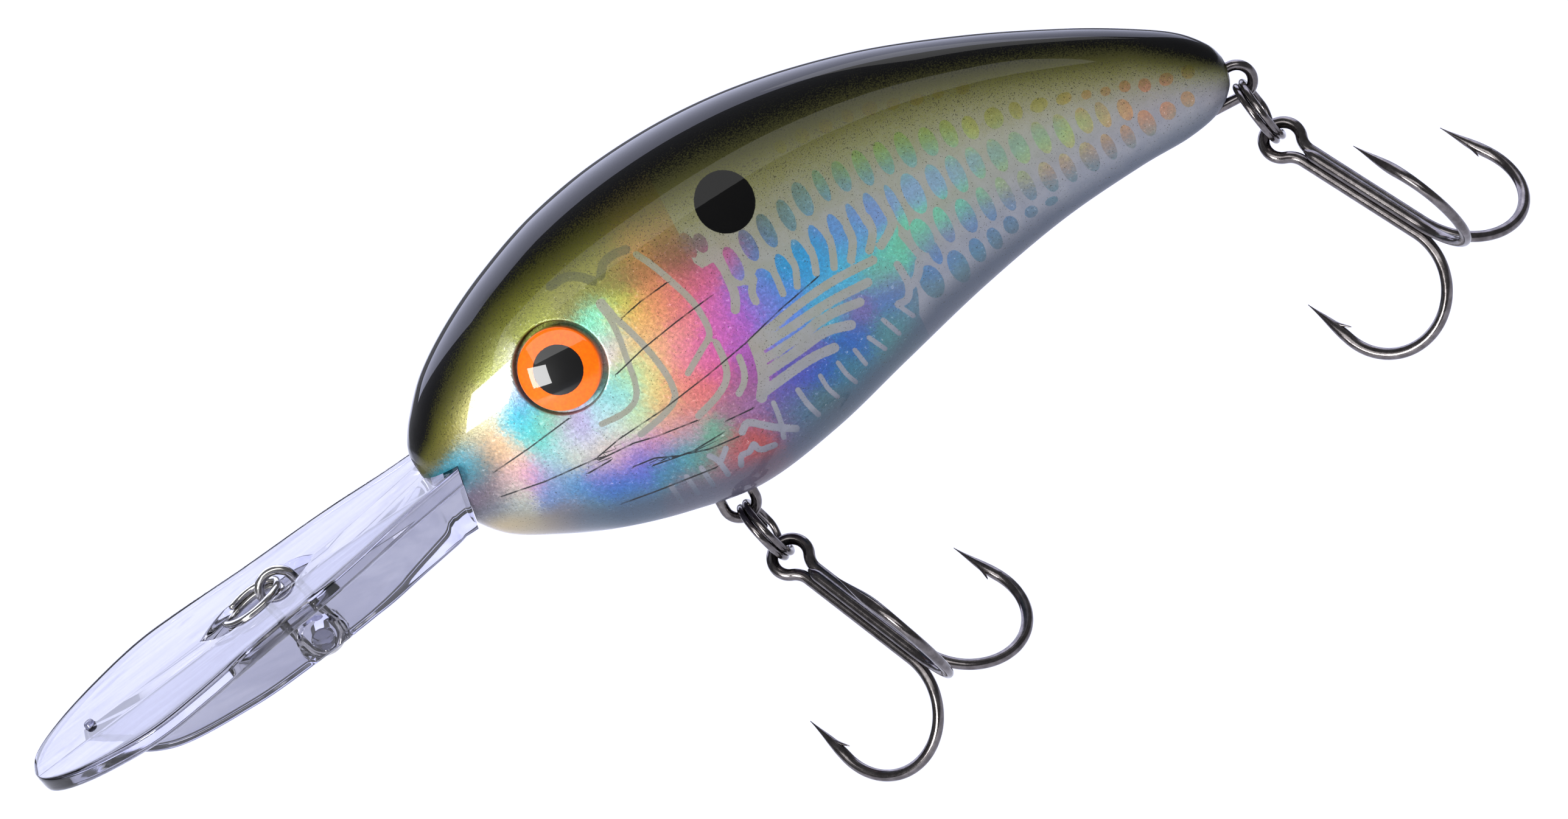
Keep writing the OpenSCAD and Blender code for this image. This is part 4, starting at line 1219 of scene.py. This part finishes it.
def flank_view(points):
    """Where each point of the skin shows on the side view, the same for both flanks."""
    seen = np.column_stack([points[:, 0], -np.abs(points[:, 1]), points[:, 2]]) - AIM
    a, b = seen @ RIGHT_AT_REST, seen @ UP_AT_REST
    return 29.1 + a - 0.025 * b, -9.5 + 0.025 * a + b


def from_hundredths(colour):
    """Linear colour of foil from its displayed one; the power is a little over the display's own."""
    return (np.asarray(colour, float) / 100) ** 2.35


def side_of_line(x, z, line):
    """Signed distance to a line of several pieces; the sign tells its two sides apart."""
    best = np.full(len(x), 99.0)
    sign = np.ones(len(x))
    for (x1, z1), (x2, z2) in zip(line, line[1:]):
        dx, dz = x2 - x1, z2 - z1
        t = np.clip(((x - x1) * dx + (z - z1) * dz) / (dx * dx + dz * dz), 0, 1)
        away = np.hypot(x - x1 - t * dx, z - z1 - t * dz)
        nearer = away < best
        best = np.where(nearer, away, best)
        sign = np.where(nearer, np.where(dx * (z - z1) - dz * (x - x1) >= 0, 1, -1), sign)
    return best, sign


def inside_area(x, z, corners):
    """Distance to a polygon's edge, positive inside it."""
    closed = corners + corners[:1]
    best, _ = side_of_line(x, z, closed)
    inside = np.zeros(len(x), bool)
    for (x1, z1), (x2, z2) in zip(closed, closed[1:]):
        crosses = (z1 > z) != (z2 > z)
        if z1 != z2:
            inside ^= crosses & (x < (x2 - x1) * (z - z1) / (z2 - z1) + x1)
    return np.where(inside, best, -best)


def in_oval(x, z, oval):
    """About the distance to an oval's rim, positive inside it."""
    ox, oz, half_w, half_h = oval
    across, up = (x - ox) / half_w, (z - oz) / half_h
    r = np.hypot(across, up)
    steepness = np.hypot(half_h * across, half_w * up).clip(0.3)
    return (1 - r) * half_w * half_h / steepness * r.clip(0.2)


def smooth_line(line):
    """The same line with its corners rounded."""
    rows = np.array(line, float)
    return [tuple(p) for p in spline(rows, np.linspace(0, len(rows) - 1, 4 * len(rows)))]


def paint_layers(points, flank):
    """Layers of the finish at every point of the skin.

    paint is the foil's colour: partly its own and partly painted reflection, its rainbow hues as they show
    from the side view, with a painted highlight on the nose. marks holds distances in millimetres to the
    edges of the print, the spot and the cracks, which the material turns into crisp edges, and how near a
    crack is. cover holds the spray's level, how far below the belly's edge and inside the dark strokes a
    point is, and how far behind the nose.
    """
    random = np.random.default_rng(5 + flank)
    x, z = flank_view(points)
    count = len(points)

    flecked_x = x + random.normal(0, 0.22, count)
    flecked_z = z + random.normal(0, 0.16, count)
    total = np.full(count, 1e-12)
    colour = np.zeros((count, 3))
    spots = from_hundredths(FOIL_AND_HIGHLIGHT_SPOTS[:, 2:])
    for (sx, sz), shade in zip(FOIL_AND_HIGHLIGHT_SPOTS[:, :2], spots):
        near = np.exp(-((flecked_x - sx) ** 2 + (flecked_z - sz) ** 2) / (2 * FOIL_REACH**2))
        near += 1e-5 / (1 + (flecked_x - sx) ** 2 + (flecked_z - sz) ** 2) ** 2
        total += near
        colour += near[:, None] * shade
    colour /= total[:, None]

    marks = inside_area(x, z, PRINT_AREA)
    for window in WINDOWS:
        marks = np.minimum(marks, -in_oval(x, z, window))
    for half_w, line in PRINT_LINES:
        away, _ = side_of_line(x, z, smooth_line(line))
        marks = np.maximum(marks, half_w - away)
    dark = np.full(count, -9.0)
    for half_w, line in DARK_LINES:
        away, _ = side_of_line(x, z, smooth_line(line))
        dark = np.maximum(dark, half_w - away)
    spot = in_oval(x, z, SPOT)
    crack = np.full(count, 9.0)
    crack_side = np.ones(count)
    for line in CREASES:
        away, sign = side_of_line(x, z, line)
        nearer = away < crack
        crack = np.where(nearer, away, crack)
        crack_side = np.where(nearer, sign, crack_side)

    black = np.interp(x, BLACK_FROM[:, 0], BLACK_FROM[:, 1])
    faded = np.interp(x, FADED_BY[:, 0], FADED_BY[:, 1])
    spray = (z - faded) / (black - faded)
    belly = np.interp(x, BELLY_BELOW[:, 0], BELLY_BELOW[:, 1]) - z
    ones = np.ones(count)
    return {
        "paint": np.column_stack([colour, ones]),
        "marks": np.column_stack([
            marks, spot, np.clip(crack, 0, 1) * crack_side, smoothstep(0.5, 0.2, crack),
        ]),
        "cover": np.column_stack([spray, belly, dark, x]),
    }


# ---------------------------------------------------------------- all the pieces

foil = foil_paint()
dark_plate = plated("black_nickel", (0.11, 0.10, 0.10), 0.16)
bright_plate = plated("nickel", (0.42, 0.41, 0.40), 0.14)
clear = clear_plastic()
eye_finish = eye_paint()

for flank, side_name in ((-1, "left"), (1, "right")):
    points, faces = body_half(flank)
    make_piece(
        f"{side_name}_body_skin", points, faces, foil, [f"{side_name}_body_half"], "lure",
        paint_layers(points, flank), 38,
    )
    points, faces, where = eye_mesh(flank)
    make_piece(
        f"{side_name}_eye_button", points, faces, eye_finish, [f"{side_name}_eye"], "lure",
        {"where": where}, 50,
    )

points, faces = joined([lip_mesh(), nub_mesh()])
make_piece("clear_lip", points, faces, clear, ["diving_lip"], "lure", None, 35)
bevel = [(0.3, -PIN_HALF + 0.06), (PIN_R - 0.12, -PIN_HALF + 0.06), (PIN_R, -PIN_HALF + 0.18)]
profile = bevel + [(PIN_R, y) for y in np.linspace(-1.2, 1.2, 9)] + [(r, -y) for r, y in bevel[::-1]]
points, faces = lathe_y(profile, TIE_FOOT)
make_piece("clear_cross_pin", points, faces, clear, ["lip_cross_pin"], "lure", None, 35)

points, faces = closed_tube(oval_path(TIE_TOP, TIE_FOOT, TIE_R), np.array([0, 1.0, 0]), TIE_WIRE, 28)
make_piece("line_tie_link", points, faces, bright_plate, ["line_tie_wire"], "lure")

ring_points, ring_faces = tube(split_ring_path(), [0, 0, 1], RING_WIRE, RING_WIRE * 0.96, 20)
# the line ring lies on the hollow's floor, around the tie
lip_x = np.array([math.cos(LIP_DROOP), 0, math.sin(LIP_DROOP)])
lip_z = np.array([-math.sin(LIP_DROOP), 0, math.cos(LIP_DROOP)])
pivot_x = TIE_TOP[0] + 0.2
hollow_floor = pivot_x * LIP_SLOPE - HOLLOW_DEPTH / math.cos(LIP_DROOP)
pivot = np.array([pivot_x, 0, hollow_floor + 2 * RING_WIRE + 0.05])
points = placed_by(turned_z(ring_points, math.radians(200)), lip_x, [0, 1, 0], lip_z, pivot - RING_R * lip_x)
make_piece(
    "line_ring_coil", points, ring_faces, bright_plate, ["line_split_ring"], "line_ring",
)

for end, hang in HANGS.items():
    points, faces = closed_tube(oval_path(hang[0], hang[1], HANGER_R), np.array([0, 1.0, 0]), HANGER_WIRE, 28)
    make_piece(
        f"{end}_hanger_link", points, faces, dark_plate, [f"{end}_hook_hanger"], "lure",
    )
    contact, tangent, down = ring_axes(hang)
    middle = contact + (RING_R - LOOP_TO_RING) * down
    turned_ring = turned_z(ring_points, math.radians(100))
    points = placed_by(turned_ring, down, np.cross(tangent, down), tangent, middle)
    make_piece(
        f"{end}_ring_coil", points, ring_faces, dark_plate, [f"{end}_split_ring"], f"{end}_ring",
    )
    axes = treble_axes(hang)
    for name, made, node in (
        ("double", double_hook_mesh(), "double_hook"),
        ("single", single_hook_mesh(), "single_hook"),
        ("braze", braze_mesh(), "hook_braze"),
    ):
        points = placed_by(made[0], *axes)
        make_piece(
            f"{end}_treble_{name}", points, made[1], dark_plate, [f"{end}_{node}"], f"{end}_treble",
        )

inner = {
    "ballast_slug": ("ballast_metal", plain_metal("ballast_metal", (0.32, 0.32, 0.33), 0.5, 0.08)),
    "rattle_ball": ("rattle_steel", plain_metal("rattle_steel", (0.6, 0.6, 0.62), 0.2, 0.01)),
}
for node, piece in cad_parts.items():
    for start, (slot, material) in inner.items():
        if node.startswith(start):
            for item in piece.material_slots:
                item.material = material

# ---------------------------------------------------------------- stage, light and camera

# The picture turns the level lure nose down; its width is metres at the lure
ROLL = math.radians(28.95)
CAMERA_DISTANCE = 1.3
PICTURE_WIDTH = 0.1373
SENSOR = 36
FLOOR_Z = -0.13
FLOOR_HALF = 3.0
FLOOR_STEPS = 24


def stage_piece(name, points, faces, material):
    """Scenery that isn't part of the lure."""
    mesh = bpy.data.meshes.new(name)
    mesh.from_pydata(points, [], faces)
    mesh.shade_smooth()
    piece = bpy.data.objects.new(name, mesh)
    bpy.context.scene.collection.objects.link(piece)
    mesh.materials.append(material)


floor_line = np.linspace(-FLOOR_HALF, FLOOR_HALF, FLOOR_STEPS + 1)
floor_points = [(x, y, FLOOR_Z) for x in floor_line for y in floor_line]
floor_faces = grid_faces(FLOOR_STEPS + 1, FLOOR_STEPS + 1, False)
stage_piece("floor", floor_points, floor_faces, floor_paint())


def panel(name, toward, distance, width, height, power, colour=(1, 1, 1)):
    """A soft rectangular light that faces the lure from a direction."""
    light = bpy.data.lights.new(name, "AREA")
    light.shape = "RECTANGLE"
    light.size, light.size_y = width, height
    light.energy = power
    light.color = colour
    lamp = bpy.data.objects.new(name, light)
    toward = Vector(unit(toward))
    lamp.location = Vector(put(AIM)) + toward * distance
    lamp.rotation_mode = "QUATERNION"
    lamp.rotation_quaternion = toward.to_track_quat("Z", "Y")
    bpy.context.scene.collection.objects.link(lamp)


panel("key_panel", (-0.07, -0.79, 0.62), 1.0, 1.3, 0.37, 4.4)
panel("nose_panel", (-0.63, -0.75, 0.21), 1.0, 0.33, 0.32, 7.5)
panel("back_panel", (0.0, 0.72, 0.69), 1.5, 3.0, 1.7, 44, (0.72, 0.75, 1.0))
panel("zenith_panel", (0.5, 0.3, 1.0), 1.6, 1.0, 0.5, 2)

world = bpy.data.worlds.new("studio")
bpy.context.scene.world = world
world.use_nodes = True
world.node_tree.nodes["Background"].inputs[0].default_value = (0.94, 0.95, 1.0, 1)
world.node_tree.nodes["Background"].inputs[1].default_value = 0.2

right = Vector(RIGHT_AT_REST * math.cos(ROLL) - UP_AT_REST * math.sin(ROLL)).normalized()
up = Vector(RIGHT_AT_REST * math.sin(ROLL) + UP_AT_REST * math.cos(ROLL)).normalized()
back = right.cross(up).normalized()
camera_data = bpy.data.cameras.new("camera")
camera_data.sensor_width = SENSOR
camera_data.lens = SENSOR * CAMERA_DISTANCE / PICTURE_WIDTH
camera_data.clip_start, camera_data.clip_end = 0.05, 20
camera = bpy.data.objects.new("camera", camera_data)
camera.matrix_world = Matrix((
    (right.x, up.x, back.x, 0), (right.y, up.y, back.y, 0), (right.z, up.z, back.z, 0), (0, 0, 0, 1),
))
camera.location = Vector(put(AIM)) + back * CAMERA_DISTANCE
bpy.context.scene.collection.objects.link(camera)
bpy.context.scene.camera = camera

bpy.context.scene.view_settings.view_transform = "Standard"
